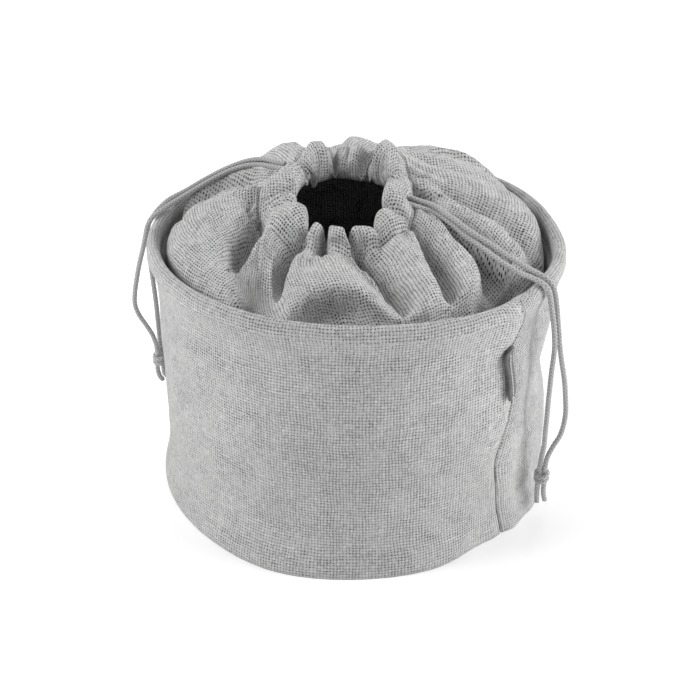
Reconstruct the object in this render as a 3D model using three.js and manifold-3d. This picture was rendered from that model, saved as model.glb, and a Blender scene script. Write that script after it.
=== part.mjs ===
// Produce bag: a round jute container with a gathered drawstring hood.
// Millimetres, +Z up, the front towards -Y. The origin is the centre of the underside.

import * as THREE from 'three';
import { mergeVertices } from 'three/addons/utils/BufferGeometryUtils.js';
import Module from 'manifold-3d';

const wasm = await Module();
wasm.setup();

// Driving dimensions
const bodyRadius = 120.2;
const rimRadius = 124.4;
const footRadius = 125.6;
const rimHeight = 163;
const rimRoll = 8;
const cuffDepth = 45;
const wallCloth = 2.2;
const hoodCloth = 2.4;
const layerGap = 2;
const seamGap = 0.5;
const cordDiameter = 3;

// How finely the round pieces are divided
const slicesRound = 112;
const cordSides = 8;
const cordStep = 7.5;

// The wall flares out at its foot and below its rolled rim
const footFlare = 17;
const rimFlareStart = 138;
const rimFlareEnd = 160;

// Hollows and swellings of the wall: where, how far out, and how far they spread
// azimuth and wide in degrees, the rest in millimetres
const wallDents = [
  { azimuth: -11, height: 82, out: -8, wide: 17, above: 30, below: 23 },
  { azimuth: -11, height: 0, out: -4.5, wide: 16, above: 20, below: 20 },
  { azimuth: -53, height: 0, out: -5.5, wide: 11, above: 20, below: 20 },
  { azimuth: -112, height: 0, out: 3, wide: 18, above: 16, below: 16 },
  { azimuth: 6, height: 163, out: -2.5, wide: 16, above: 25, below: 25 },
  { azimuth: 60, height: 70, out: -3, wide: 20, above: 35, below: 30 },
  { azimuth: 128, height: 95, out: -3.5, wide: 16, above: 35, below: 40 },
  { azimuth: -168, height: 120, out: -0.6, wide: 20, above: 20, below: 30 },
];

// The rim's line dips a little here and there
const rimDips = [
  { azimuth: -50, down: 3, wide: 22 },
  { azimuth: 12, down: 1.5, wide: 30 },
  { azimuth: 110, down: 1.5, wide: 25 },
];

// The side seam and the soft crease beside it wander as they go down the wall
const sideSeam = {
  depth: 1.6,
  wide: 2.6,
  ease: 0.5,
  path: [
    { height: 0, azimuth: -46.8 },
    { height: 33, azimuth: -48 },
    { height: 53, azimuth: -49.2 },
    { height: 66, azimuth: -48 },
    { height: 78, azimuth: -44.9 },
    { height: 89, azimuth: -43.4 },
    { height: 104, azimuth: -46.4 },
    { height: 127, azimuth: -48.6 },
    { height: 137, azimuth: -44.4 },
    { height: 148, azimuth: -42.4 },
    { height: 163, azimuth: -46 },
  ],
};
const sideCrease = {
  depth: 2.4,
  wide: 4,
  ease: 0.7,
  path: [
    { height: 0, azimuth: -36 },
    { height: 25, azimuth: -38.2 },
    { height: 53, azimuth: -37.4 },
    { height: 64, azimuth: -31.5 },
    { height: 85, azimuth: -35 },
    { height: 102, azimuth: -32.2 },
    { height: 121, azimuth: -34.8 },
    { height: 142, azimuth: -30 },
    { height: 163, azimuth: -36 },
  ],
};

// The gathered mouth: its centre, and its plane, which climbs towards the back
const mouth = { x: -9.5, y: -3, height: 184, slope: 0.305 };

// The hood's gathered folds, in order round the mouth
// near and far are angles in degrees at the gathering and at the wall
// rise, crest and fade are heights near the gathering, halfway out and towards the wall
const hoodFolds = [
  { near: -150, far: -113, rise: 2, crest: 3, fade: 0 },
  { near: -130, far: -104, rise: -6, crest: -7, fade: -1 },
  { near: -114, far: -92, rise: 1, crest: 3, fade: 2 },
  { near: -97, far: -85, rise: 1, crest: 4, fade: 3 },
  { near: -79, far: -76, rise: -6, crest: -6, fade: -1 },
  { near: -52, far: -70, rise: 2, crest: 3, fade: 2 },
  { near: -29, far: -63, rise: -4, crest: -7, fade: -3 },
  { near: -18, far: -58, rise: 1, crest: 2, fade: 1 },
  { near: -10, far: -47, rise: -4, crest: -5, fade: -4 },
  { near: 11, far: -32, rise: 2, crest: 3, fade: 1 },
  { near: 32, far: -24, rise: -1, crest: -4, fade: -2 },
  { near: 42, far: 10, rise: 2, crest: 3, fade: 4 },
  { near: 51, far: 22, rise: -2, crest: -3, fade: 0 },
  { near: 60, far: 38, rise: 3, crest: 8, fade: 7 },
  { near: 78, far: 66, rise: -4, crest: -5, fade: -2 },
  { near: 91, far: 84, rise: 1, crest: 3, fade: 3 },
  { near: 106, far: 102, rise: -4, crest: -5, fade: -2 },
  { near: 120, far: 118, rise: 1, crest: 3, fade: 3 },
  { near: 132, far: 134, rise: -3, crest: -3, fade: -2 },
  { near: 144, far: 152, rise: 1, crest: 0, fade: 1 },
  { near: 157, far: 184, rise: -4, crest: -7, fade: -4 },
  { near: 166, far: 200, rise: 2, crest: 4, fade: 4 },
  { near: 188, far: 234, rise: -3, crest: -6, fade: -2 },
];

// The casing's puckers, in order round the mouth
// edge is the mouth's radius there, puff how far the casing swells or sinks
const casingPuckers = [
  { angle: -172, edge: 26, puff: 2 },
  { angle: -163, edge: 27.5, puff: -1 },
  { angle: -146, edge: 24, puff: 4 },
  { angle: -124, edge: 35, puff: -8 },
  { angle: -115, edge: 29, puff: 3 },
  { angle: -106, edge: 31, puff: -1 },
  { angle: -97, edge: 29, puff: 3 },
  { angle: -84, edge: 35, puff: -9 },
  { angle: -74, edge: 31, puff: 3 },
  { angle: -57, edge: 35, puff: -3 },
  { angle: -42, edge: 27.5, puff: 4 },
  { angle: -28, edge: 30.5, puff: -1 },
  { angle: -8, edge: 24, puff: 4 },
  { angle: 14, edge: 27, puff: 4 },
  { angle: 26, edge: 34, puff: -4 },
  { angle: 34, edge: 27, puff: 2 },
  { angle: 42, edge: 28.5, puff: -3 },
  { angle: 52, edge: 25, puff: 4 },
  { angle: 63, edge: 25, puff: -4 },
  { angle: 76, edge: 17, puff: 5 },
  { angle: 97, edge: 21, puff: -5 },
  { angle: 110, edge: 15, puff: 5 },
  { angle: 122, edge: 22, puff: -6 },
  { angle: 128, edge: 22, puff: 1 },
  { angle: 135, edge: 28, puff: -4 },
  { angle: 148, edge: 27, puff: 4 },
  { angle: 164, edge: 26, puff: 3 },
  { angle: 178, edge: 27.5, puff: -5 },
];

const degree = Math.PI / 180;

function bump(distance, width) {
  return Math.exp(-((distance / width) ** 2));
}

function smooth(x) {
  const c = Math.min(1, Math.max(0, x));
  return c * c * (3 - 2 * c);
}

function mix(a, b, share) {
  return a + (b - a) * share;
}

// Smallest turn from one angle to another, in degrees
function turn(from, to) {
  return ((((to - from) % 360) + 540) % 360) - 180;
}

function azimuthAt(path, height) {
  let above = path.findIndex((row) => row.height >= height);
  if (above < 0) above = path.length - 1;
  const high = path[Math.max(above, 1)];
  const low = path[Math.max(above, 1) - 1];
  const share = (height - low.height) / (high.height - low.height);
  return mix(low.azimuth, high.azimuth, Math.min(1, Math.max(0, share)));
}

// Outer radius of the wall's cloth
function wallRadius(azimuth, height) {
  let radius = bodyRadius;
  radius += (footRadius - bodyRadius) * bump(height, footFlare);
  const flare = smooth((height - rimFlareStart) / (rimFlareEnd - rimFlareStart));
  radius += (rimRadius - bodyRadius) * flare;
  for (const dent of wallDents) {
    const away = height - dent.height;
    const spread = away > 0 ? dent.above : dent.below;
    radius += dent.out * bump(turn(azimuth, dent.azimuth), dent.wide) * bump(away, spread);
  }
  for (const line of [sideSeam, sideCrease]) {
    const depth = line.depth * (1 - line.ease * flare);
    radius -= depth * bump(turn(azimuth, azimuthAt(line.path, height)), line.wide);
  }
  return radius;
}

function rimTop(azimuth) {
  let height = rimHeight;
  for (const dip of rimDips) height -= dip.down * bump(turn(azimuth, dip.azimuth), dip.wide);
  return height;
}

// Between two neighbouring rows of a table that goes round
// part is how far between them the angle is, share the same as a soft wave
function between(rows, angleOf, angle) {
  for (let i = 0; i < rows.length; i += 1) {
    const start = angleOf(rows[i]);
    const next = rows[(i + 1) % rows.length];
    const span = turn(start, angleOf(next));
    const into = turn(start, angle);
    if (into >= 0 && into < span) {
      const part = into / span;
      return { low: rows[i], high: next, part, share: (1 - Math.cos(Math.PI * part)) / 2 };
    }
  }
  return { low: rows[0], high: rows[0], part: 0, share: 0 };
}

// How much of their swing the folds have made on the way from the gathering to the wall
function swingAt(out) {
  return out ** 0.7;
}

// A line of the hood's cloth that starts at an angle of the gathering swings with the folds
function swungAngle(angle, out) {
  const { low, high, part } = between(hoodFolds, (fold) => fold.near, angle);
  return angle + swingAt(out) * mix(low.far - low.near, high.far - high.near, part);
}

// Height of the hood's folds; out goes from 0 at the gathering to 1 at the wall
function foldHeight(angle, out) {
  const angleOf = (fold) => mix(fold.near, fold.far, swingAt(out));
  const { low, high, share } = between(hoodFolds, angleOf, angle);
  const heightOf = (fold) => {
    const inner = mix(fold.rise, fold.crest, smooth(out / 0.4));
    return mix(inner, fold.fade, smooth((out - 0.4) / 0.4));
  };
  return mix(heightOf(low), heightOf(high), share);
}

function pucker(angle) {
  const { low, high, share } = between(casingPuckers, (row) => row.angle, angle);
  return { edge: mix(low.edge, high.edge, share), puff: mix(low.puff, high.puff, share) };
}

// The stitched line below the casing: a slightly oval ring that follows the folds a little
const stitchedLine = { radius: 41.5, oval: 5, shift: -2, back: 3, height: -5, follow: 0.35 };

// The two slits where the drawcords leave the casing, as pockets in the stitched line
const slits = { depth: 5, wide: 8, angles: [-1, 141] };

function ringRadius(angle) {
  const sine = Math.sin(angle * degree);
  const cosine = Math.cos(angle * degree);
  let radius = stitchedLine.radius;
  radius += stitchedLine.oval * cosine * cosine;
  radius += stitchedLine.shift * cosine;
  radius += stitchedLine.back * Math.max(0, sine);
  for (const slit of slits.angles) radius -= slits.depth * bump(turn(angle, slit), slits.wide);
  return radius;
}

function mouthPoint(angle, radius, above) {
  const x = mouth.x + radius * Math.cos(angle * degree);
  const y = mouth.y + radius * Math.sin(angle * degree);
  return new THREE.Vector3(x, y, mouth.height + mouth.slope * (y - mouth.y) + above);
}

function ringPoint(angle) {
  const swell = stitchedLine.follow * (foldHeight(angle, 0) + pucker(angle).puff);
  return mouthPoint(angle, ringRadius(angle), stitchedLine.height + swell);
}

// The cuff hangs inside the rim; the hood stands inside it and eases away from it upwards
// It keeps clear of the wall for a few degrees to each side, past the wall's seam and crease
const cuff = { heights: [rimHeight - cuffDepth, 126, 136], bent: 148, bentInset: 7.4 };
const stand = { easeFrom: 126, top: 148, ease: 3, sides: [-2.6, 0, 2.6] };
const cuffStack = 2 * wallCloth + layerGap;

function standRadius(azimuth, height) {
  const ease = stand.ease * smooth((height - stand.easeFrom) / (stand.top - stand.easeFrom));
  const radius = Math.min(...stand.sides.map((side) => wallRadius(azimuth + side, height)));
  return radius - cuffStack - seamGap - ease;
}

// Heights on the wall follow its rim, so that they dip where the rim dips
function dipped(azimuth, height) {
  return (height * rimTop(azimuth)) / rimHeight;
}

// The dome's outline between the stand and the stitched line, fuller towards the back
const dome = {
  shoulderOut: 1,
  shoulderHeight: 164,
  shoulderBack: 13,
  crownRadius: 75,
  crownOut: 8,
  crownHeight: 169,
  crownBack: 21,
};

// The folds die away over these shares of the way at the stitched line and at the wall
const foldEnds = { atLine: 0.1, atWall: 0.25 };

function domePoint(angle, out, inset) {
  const back = (1 + Math.sin(angle * degree)) / 2;
  const foot = standRadius(angle, stand.top);
  const profile = new THREE.CubicBezierCurve(
    new THREE.Vector2(foot, dipped(angle, stand.top)),
    new THREE.Vector2(foot + dome.shoulderOut, dome.shoulderHeight + dome.shoulderBack * back),
    new THREE.Vector2(dome.crownRadius + dome.crownOut * back, dome.crownHeight + dome.crownBack * back),
    new THREE.Vector2(ringRadius(angle), ringPoint(angle).z),
  );
  const along = 1 - out;
  const point = profile.getPoint(along);
  const way = profile.getTangent(along);
  const settle = smooth(out / foldEnds.atLine) * smooth((1 - out) / foldEnds.atWall);
  const lift = foldHeight(angle, out) * settle - inset;
  const radius = point.x + way.y * lift;
  const shift = smooth(along);
  return new THREE.Vector3(
    mouth.x * shift + radius * Math.cos(angle * degree),
    mouth.y * shift + radius * Math.sin(angle * degree),
    point.y - way.x * lift,
  );
}

// The casing from the stitched line over its puffed top to the hem inside the mouth
// inwards is the share of the way to the mouth's edge, beyond a distance past that
// height is above the mouth's plane, swell the share of the pucker's puff added to it
const casingProfile = [
  { inwards: 0, beyond: -2.5, height: -2, swell: 0.6 },
  { inwards: 0.4, beyond: 0, height: 1.5, swell: 1 },
  { inwards: 0.74, beyond: 0, height: 2.8, swell: 1 },
  { inwards: 1, beyond: 0.8, height: 0.5, swell: 0.8 },
  { inwards: 1, beyond: 0, height: -2.5, swell: 0.3 },
  { inwards: 1, beyond: 2.5, height: -8, swell: 0 },
  { inwards: 1, beyond: 7, height: -12.5, swell: 0 },
];

function casingPoints(angle) {
  const { edge, puff } = pucker(angle);
  const ring = ringRadius(angle);
  return casingProfile.map(({ inwards, beyond, height, swell }) =>
    mouthPoint(angle, mix(ring, edge, inwards) + beyond, height + swell * puff),
  );
}

// A closed ring of cloth: the same section at every slice, joined all the way round
function roundSheet(sectionAt) {
  const positions = [];
  const indices = [];
  let rows = 0;
  for (let slice = 0; slice < slicesRound; slice += 1) {
    const section = sectionAt(-180 + (360 * slice) / slicesRound);
    rows = section.length;
    for (const point of section) positions.push(point.x, point.y, point.z);
  }
  for (let slice = 0; slice < slicesRound; slice += 1) {
    const here = slice * rows;
    const there = ((slice + 1) % slicesRound) * rows;
    for (let row = 0; row < rows; row += 1) {
      const next = (row + 1) % rows;
      indices.push(here + row, there + row, there + next);
      indices.push(here + row, there + next, here + next);
    }
  }
  const geometry = new THREE.BufferGeometry();
  geometry.setAttribute('position', new THREE.Float32BufferAttribute(positions, 3));
  geometry.setIndex(indices);
  return geometry;
}

function polar(azimuth, radius, height) {
  return new THREE.Vector3(
    radius * Math.cos(azimuth * degree),
    radius * Math.sin(azimuth * degree),
    height,
  );
}

// Outer wall: up the outside, over the rolled rim, down the cuff, and back down inside
const outsideHeights = [0, 5, 12, 22, 40, 62, 80, 98, 116, 132, 142, 150, 156];
const insideHeights = [150, 136, 116, 92, 68, 40, 14, 0];

// The roll of the rim: share of its width inwards, and how far below its top
const rimRollProfile = [
  { inwards: 0.1, down: 2.6 },
  { inwards: 0.35, down: 0.3 },
  { inwards: 0.68, down: 0.4 },
  { inwards: 0.93, down: 2.8 },
  { inwards: 1, down: 6.5 },
];

function wallSection(azimuth) {
  const at = (inset, height) =>
    polar(azimuth, wallRadius(azimuth, height) - inset, dipped(azimuth, height));
  const roll = (inset, down) =>
    polar(azimuth, wallRadius(azimuth, rimFlareEnd) - inset, rimTop(azimuth) - down);
  return [
    ...outsideHeights.map((height) => at(0, height)),
    ...rimRollProfile.map(({ inwards, down }) => roll(rimRoll * inwards, down)),
    at(cuff.bentInset, cuff.bent),
    ...[...cuff.heights].reverse().map((height) => at(cuffStack, height)),
    ...cuff.heights.map((height) => at(cuffStack - wallCloth, height)),
    at(cuff.bentInset - wallCloth, cuff.bent),
    roll(rimRoll / 2, 1 + wallCloth),
    ...insideHeights.map((height) => at(wallCloth, height)),
  ];
}

// Hood: up its stand, over the dome, through the casing, and back down inside
const domeSteps = [1, 0.88, 0.76, 0.64, 0.52, 0.4, 0.28, 0.18, 0.1, 0.04];
const liningSteps = [0.05, 0.16, 0.32, 0.48, 0.66, 0.84, 1];

function hoodSection(angle) {
  const foot = swungAngle(angle, 1);
  const standPoint = (height, inset) =>
    polar(foot, standRadius(foot, height) - inset, dipped(foot, height));
  const onDome = (out, inset) => domePoint(swungAngle(angle, out), out, inset);
  return [
    ...cuff.heights.map((height) => standPoint(height, 0)),
    ...domeSteps.map((out) => onDome(out, 0)),
    ringPoint(angle),
    ...casingPoints(angle),
    ...liningSteps.map((out) => onDome(out, hoodCloth)),
    ...[...cuff.heights].reverse().map((height) => standPoint(height, hoodCloth)),
  ];
}

// A flat outline from points given one after the other
function closedShape(points) {
  return new THREE.Shape(points.map(({ x, y }) => new THREE.Vector2(x, y)));
}

// Base panel: a disc sewn in at the wall's foot, clear of the wall's lowest inside edges
const base = { thickness: 2.4, clearOf: 6 };

function basePanel() {
  const outline = [];
  for (let slice = 0; slice < slicesRound; slice += 1) {
    const azimuth = -180 + (360 * slice) / slicesRound;
    outline.push(polar(azimuth, wallRadius(azimuth, base.clearOf) - wallCloth - seamGap, 0));
  }
  return new THREE.ExtrudeGeometry(closedShape(outline), { depth: base.thickness, bevelEnabled: false });
}

// Label: a narrow folded ribbon caught in the side seam, leaning back towards the front panel
const label = {
  lift: 0.5,
  lean: 2.4,
  belly: 1,
  thickness: 1.4,
  rows: [
    { height: 97, root: -43.4, tip: -47.2 },
    { height: 103, root: -43.7, tip: -47.2 },
    { height: 110, root: -44.3, tip: -47.8 },
    { height: 117, root: -44.9, tip: -48.8 },
    { height: 123, root: -45.6, tip: -49.7 },
    { height: 128, root: -46.6, tip: -50 },
  ],
};

function labelRow({ height, root, tip }) {
  const at = (share, lift) => {
    const azimuth = mix(root, tip, share);
    return polar(azimuth, wallRadius(azimuth, height) + lift, height);
  };
  const half = label.lift + 0.5 * label.lean + label.belly;
  const end = label.lift + label.lean;
  return [
    at(0, label.lift),
    at(0.5, half),
    at(1, end),
    at(1, end + label.thickness),
    at(0.5, half + label.thickness),
    at(0, label.lift + label.thickness),
  ];
}

// A closed strip: the rows of points joined in order, with a flat face at each end
function stripOf(rows) {
  const count = rows[0].length;
  const positions = rows.flat().flatMap((point) => [point.x, point.y, point.z]);
  const indices = [];
  for (let row = 0; row + 1 < rows.length; row += 1) {
    for (let i = 0; i < count; i += 1) {
      const here = row * count + i;
      const beside = row * count + ((i + 1) % count);
      indices.push(here, beside, beside + count, here, beside + count, here + count);
    }
  }
  const last = (rows.length - 1) * count;
  for (let i = 1; i < count / 2; i += 1) {
    const [a, b, c, d] = [i - 1, i, count - i - 1, count - i];
    indices.push(a, c, b, a, d, c);
    indices.push(last + a, last + b, last + c, last + a, last + c, last + d);
  }
  const geometry = new THREE.BufferGeometry();
  geometry.setAttribute('position', new THREE.Float32BufferAttribute(positions, 3));
  geometry.setIndex(indices);
  return geometry;
}

// The drawcords: two strands leave each side of the casing and are knotted together
// Each route runs from its slit over the hood and the rim and down beside the wall
const cordRoutes = {
  cord_right_a: [
    [33.6, -9.7, 180.4], [43.1, -11.6, 177.7], [52.9, -20.6, 174.8], [62.5, -31.6, 170.7],
    [72, -41.8, 167.4], [81.4, -53.5, 164.8], [88.8, -61.1, 163.1], [94.5, -68.3, 163.7],
    [99.8, -72, 162.3], [103.3, -72.6, 158.4], [105.1, -71.6, 152.5], [106.7, -70.7, 145],
    [109.2, -69.5, 132], [110.8, -68.3, 119], [110.6, -67.7, 104], [110.6, -67.2, 88],
    [110.7, -67, 72], [110.8, -66.6, 59], [110.9, -66.2, 50], [110.1, -66, 42],
    [109.6, -66, 35.1],
  ],
  cord_right_b: [
    [35.6, -4.9, 181.9], [45.1, -10.2, 180.5], [54.7, -21.3, 177.7], [64.5, -30.7, 173.6],
    [74.9, -38.6, 169.7], [85.2, -48.9, 166.4], [93.3, -57.1, 164.3], [98.4, -63.7, 164.2],
    [103, -67, 162.2], [106.5, -67.8, 158.4], [108.7, -66.7, 152], [110.3, -65.4, 144.5],
    [112.9, -64, 129], [114.9, -63.5, 116.5], [116.9, -63.5, 106.5], [119.2, -63.5, 96],
    [121, -63.6, 84], [122.1, -63.8, 71], [120.4, -64.3, 58], [116.3, -65, 49],
    [113.6, -66, 42], [112.8, -66.3, 34.9],
  ],
  cord_left_a: [
    [-47.2, 27.3, 189.3], [-57, 35, 188.1], [-66, 38.8, 186.5], [-78, 39.9, 182.6],
    [-91.7, 37.9, 176.2], [-104.9, 31.4, 170.2], [-114.5, 23.4, 166.9], [-119.8, 16.2, 165.4],
    [-123.6, 12.2, 163.3], [-126.6, 11, 158.4], [-128.7, 10.8, 151], [-131, 10.5, 142.5],
    [-133.7, 10.2, 133.5], [-136.2, 10, 123.5], [-138.3, 10, 113.5], [-139, 10, 105.5],
    [-137.4, 10, 98.5], [-133.6, 10, 91], [-129.9, 10.2, 83], [-128.4, 10.6, 76],
    [-128, 11, 70.3],
  ],
  cord_left_b: [
    [-48, 31, 191.5], [-57.6, 38.4, 190.6], [-67, 42.5, 188], [-78.5, 43.4, 183.6],
    [-92.2, 41.6, 177.2], [-105.6, 35.4, 171.2], [-115.2, 27.6, 168.5], [-120.4, 20.8, 165.7],
    [-123.9, 17.2, 162.2], [-126.5, 16.5, 158.4], [-128.1, 16.4, 151], [-128.2, 16.3, 141],
    [-128, 16, 131], [-127.5, 15.8, 121], [-127, 15.5, 111], [-126.6, 15, 101],
    [-126.5, 14.7, 91], [-126.4, 14.5, 81], [-126.3, 14.3, 70.4],
  ],
};

function cordAlong(points) {
  const curve = new THREE.CatmullRomCurve3(points.map(([x, y, z]) => new THREE.Vector3(x, y, z)));
  const section = [];
  for (let side = 0; side < cordSides; side += 1) {
    section.push(polar((360 * side) / cordSides, cordDiameter / 2, 0));
  }
  const steps = Math.ceil(curve.getLength() / cordStep);
  return new THREE.ExtrudeGeometry(closedShape(section), { steps, extrudePath: curve, bevelEnabled: false });
}

// Knots: a tight lump where the two strands are tied, with two short tails below
const knot = { across: 4.9, tall: 6.2, rounds: 12, rings: 8, tailSpread: 1.8, tailTop: 2, tailLength: 19 };
const knots = {
  knot_right: { x: 111.3, y: -66.2, z: 28.5, drift: [1, 0], splay: 1.6 },
  knot_left: { x: -127.2, y: 12.7, z: 64, drift: [2, 6], splay: 0.6 },
};

const weldDistance = 1e-4;

function toSolid(geometry) {
  const bare = geometry.clone();
  bare.deleteAttribute('normal');
  bare.deleteAttribute('uv');
  const merged = mergeVertices(bare, weldDistance);
  return new wasm.Manifold(
    new wasm.Mesh({
      numProp: 3,
      vertProperties: new Float32Array(merged.getAttribute('position').array),
      triVerts: new Uint32Array(merged.getIndex().array),
    }),
  );
}

function toGeometry(solid) {
  const mesh = solid.getMesh();
  const geometry = new THREE.BufferGeometry();
  geometry.setAttribute('position', new THREE.BufferAttribute(new Float32Array(mesh.vertProperties), 3));
  geometry.setIndex(new THREE.BufferAttribute(new Uint32Array(mesh.triVerts), 1));
  return geometry;
}

function knotWithTails({ x, y, z, drift, splay }) {
  const lump = new THREE.SphereGeometry(1, knot.rounds, knot.rings);
  lump.rotateX(Math.PI / 2);
  lump.scale(knot.across, knot.across, knot.tall);
  let solid = toSolid(lump);
  for (const side of [-1, 1]) {
    const tail = [
      [side * knot.tailSpread, 0, -knot.tailTop],
      [side * knot.tailSpread, 0, -knot.tailLength / 2],
      [side * (knot.tailSpread + splay) + drift[0], side + drift[1], -knot.tailLength],
    ];
    solid = solid.add(toSolid(cordAlong(tail)));
  }
  const geometry = toGeometry(solid);
  geometry.translate(x, y, z);
  return geometry;
}

const clothLook = { color: 0xb9b9b7, roughness: 0.95, metalness: 0 };
const cordLook = { color: 0x9c9c9a, roughness: 0.85, metalness: 0 };
const labelLook = { color: 0x6a6a6a, roughness: 0.7, metalness: 0 };

function addPiece(group, name, geometry, look) {
  const piece = new THREE.Mesh(geometry, new THREE.MeshStandardMaterial(look));
  piece.name = name;
  group.add(piece);
}

const bag = new THREE.Group();
addPiece(bag, 'outer_wall', roundSheet(wallSection), clothLook);
addPiece(bag, 'hood', roundSheet(hoodSection), clothLook);
addPiece(bag, 'base_panel', basePanel(), clothLook);
addPiece(bag, 'label', stripOf(label.rows.map(labelRow)), labelLook);
for (const [name, route] of Object.entries(cordRoutes)) {
  addPiece(bag, name, cordAlong(route), cordLook);
}
for (const [name, place] of Object.entries(knots)) {
  addPiece(bag, name, knotWithTails(place), cordLook);
}

export default bag;
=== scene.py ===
"""A round jute bag for vegetables, with a gathered hood and a drawcord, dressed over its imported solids."""

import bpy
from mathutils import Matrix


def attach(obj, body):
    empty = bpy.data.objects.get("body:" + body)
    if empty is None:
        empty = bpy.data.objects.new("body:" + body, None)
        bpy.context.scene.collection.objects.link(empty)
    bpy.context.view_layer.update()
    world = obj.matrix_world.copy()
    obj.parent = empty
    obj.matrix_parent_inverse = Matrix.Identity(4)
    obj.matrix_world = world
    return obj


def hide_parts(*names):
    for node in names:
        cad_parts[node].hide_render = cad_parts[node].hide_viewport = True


bl_info = {
    "name": "Drawstring Produce Bag",
    "version": (1, 0, 0),
    "blender": (4, 5, 0),
    "location": "3D View > Sidebar > Bag",
    "description": "Builds a round jute bag with a gathered hood, a drawcord and a small studio",
    "category": "Object",
}

import math

import bpy
import numpy as np
from bpy.props import FloatProperty, FloatVectorProperty, PointerProperty
from bpy.types import Operator, Panel, PropertyGroup
from mathutils import Vector

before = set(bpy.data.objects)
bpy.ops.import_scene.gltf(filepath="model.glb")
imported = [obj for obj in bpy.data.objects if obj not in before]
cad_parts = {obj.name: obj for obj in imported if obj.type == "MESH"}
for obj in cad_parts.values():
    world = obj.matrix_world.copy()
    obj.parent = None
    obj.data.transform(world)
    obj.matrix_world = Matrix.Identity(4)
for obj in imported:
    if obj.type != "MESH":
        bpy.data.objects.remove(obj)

MM = 0.001
DEGREE = math.pi / 180

# Tables and measures are in millimetres and degrees, unless they say metres

# Hollows and swellings of the wall:
# azimuth, height, how far out, spread in azimuth, spread upwards, spread downwards
WALL_DENTS = (
    (-11, 82, -8, 17, 30, 23),
    (-11, 0, -4.5, 16, 20, 20),
    (-53, 0, -5.5, 11, 20, 20),
    (-112, 0, 3, 18, 16, 16),
    (6, 163, -2.5, 16, 25, 25),
    (60, 70, -3, 20, 35, 30),
    (128, 95, -3.5, 16, 35, 40),
    (-168, 120, -0.6, 20, 20, 30),
)

# Heights between which the wall flares out to its rim, and how high its foot's flare reaches
RIM_FLARE = (138, 160)
FOOT_FLARE = 17

# Dips of the rim's line: azimuth, how far down, spread in azimuth
RIM_DIPS = ((-50, 3, 22), (12, 1.5, 30), (110, 1.5, 25))

# Section of the rolled rim for a roll that is 8 wide: distance inwards, distance down
RIM_SECTION = ((0, 8.5), (0.7, 2.6), (2.8, 0.3), (5.4, 0.4), (7.4, 2.8), (8, 6.5), (7.7, 12))
RIM_SECTION_WIDTH = 8

# Where the roll passes into the cuff (distance inwards, height), and heights where the cuff hangs straight
CUFF_TURN = (7.4, 148)
CUFF_STRAIGHT = (136, 126)

# How the side seam and the soft crease beside it wander: height, azimuth
SEAM_PATH = (
    (0, -44.5), (18, -46), (39, -47.4), (52, -48.4), (58, -48.2), (73, -45.8), (82, -43.9), (92, -42.8),
    (104, -43), (114, -44), (128, -45.5), (133, -45), (138, -42.9), (144, -41.4), (152, -42.7), (163, -45),
)
CREASE_PATH = (
    (0, -34.5), (22, -35.4), (40, -36), (54, -34.4), (62, -30), (80, -29.5),
    (94, -31), (120, -33.6), (135, -31), (146, -28.5), (163, -31),
)

# Their grooves: path, depth, spread in azimuth, and the share that the rim's flare takes out
WALL_GROOVES = ((SEAM_PATH, 1.6, 2.6, 0.5), (CREASE_PATH, 1.8, 4, 0.6))

# The azimuths round which the wall's columns stand closer together: how much closer, and how far
SEAM_AZIMUTH = -46.0
COLUMN_CROWDS = ((SEAM_AZIMUTH, 3.2, 4), (-35.0, 0.6, 7))
WALL_COLUMNS = 560

# Top of the wall's face below its roll and the spacing of its rows, and the top of its inner side
FACE_TOP, FACE_STEP, INSIDE_TOP = 155, 2.0, 150

# Stitches of the side seam: first and last height, spacing, length, radius of the thread
SEAM_STITCHES = (3, 157, 2.3, 1.6, 0.32)
# How far they lie beside the seam's line, and how deep under the wall's face
SEAM_STITCH_SIDE, SEAM_STITCH_DEPTH = 0.12, 0.25

# Unevenness of the cloth: size of its waves, seed, height
WALL_RUMPLES = ((42, 3, 0.28), (14, 5, 0.09))
HOOD_RUMPLES = ((19, 21, 0.34), (7.5, 22, 0.16))

# Edge of the base panel: distance inwards, height
BASE_EDGE = ((0.6, 0.0), (0.15, 0.3), (0.0, 0.8), (0.0, 1.6), (0.15, 2.1), (0.6, 2.4))
BASE_THICKNESS = 2.4

# Mouth of the hood: its centre, its height, and its climb towards the back
MOUTH_X, MOUTH_Y = -9.5, -3
MOUTH_HEIGHT, MOUTH_SLOPE = 184, 0.305

# The stitched ring round the mouth: radius, and how much further out it is across, to the left and behind
RING_RADIUS, RING_ACROSS, RING_LEFT, RING_BEHIND = 41.5, 5, 2, 3
# Its bulge at the back right: how far out, angle, spread
RING_BULGE = (6, 52, 20)
# Its height over the mouth's plane, and its share of the height of folds and puckers
RING_LEVEL, RING_SHARE = -4, 0.4

# The slits where the cords leave the casing
SLIT_ANGLES, SLIT_DEPTH, SLIT_SPREAD = (-1, 141), 5, 8

# How full ridges are and how tight valleys: below 1 for full ridges, above 1 for full valleys
RING_FULLNESS, PUCKER_FULLNESS, FOLD_FULLNESS, EDGE_FULLNESS = 0.5, 0.35, 0.6, 3.0

# The hood's stand inside the cuff: its top, from where on it eases inwards, and how far
STAND_TOP, STAND_EASE_FROM, STAND_EASE = 148, 126, 3
# How far to each side it keeps clear of the wall's grooves
STAND_REACH = 2.6

# Control values of the dome's profile: in front, and how much more at the back
NECK_RADIUS, NECK_HEIGHT, SHOULDER_HEIGHT = (75, 8), (169, 21), (164, 13)
# Power by which the folds swing round near the mouth
FOLD_SWING = 2.2

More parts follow.
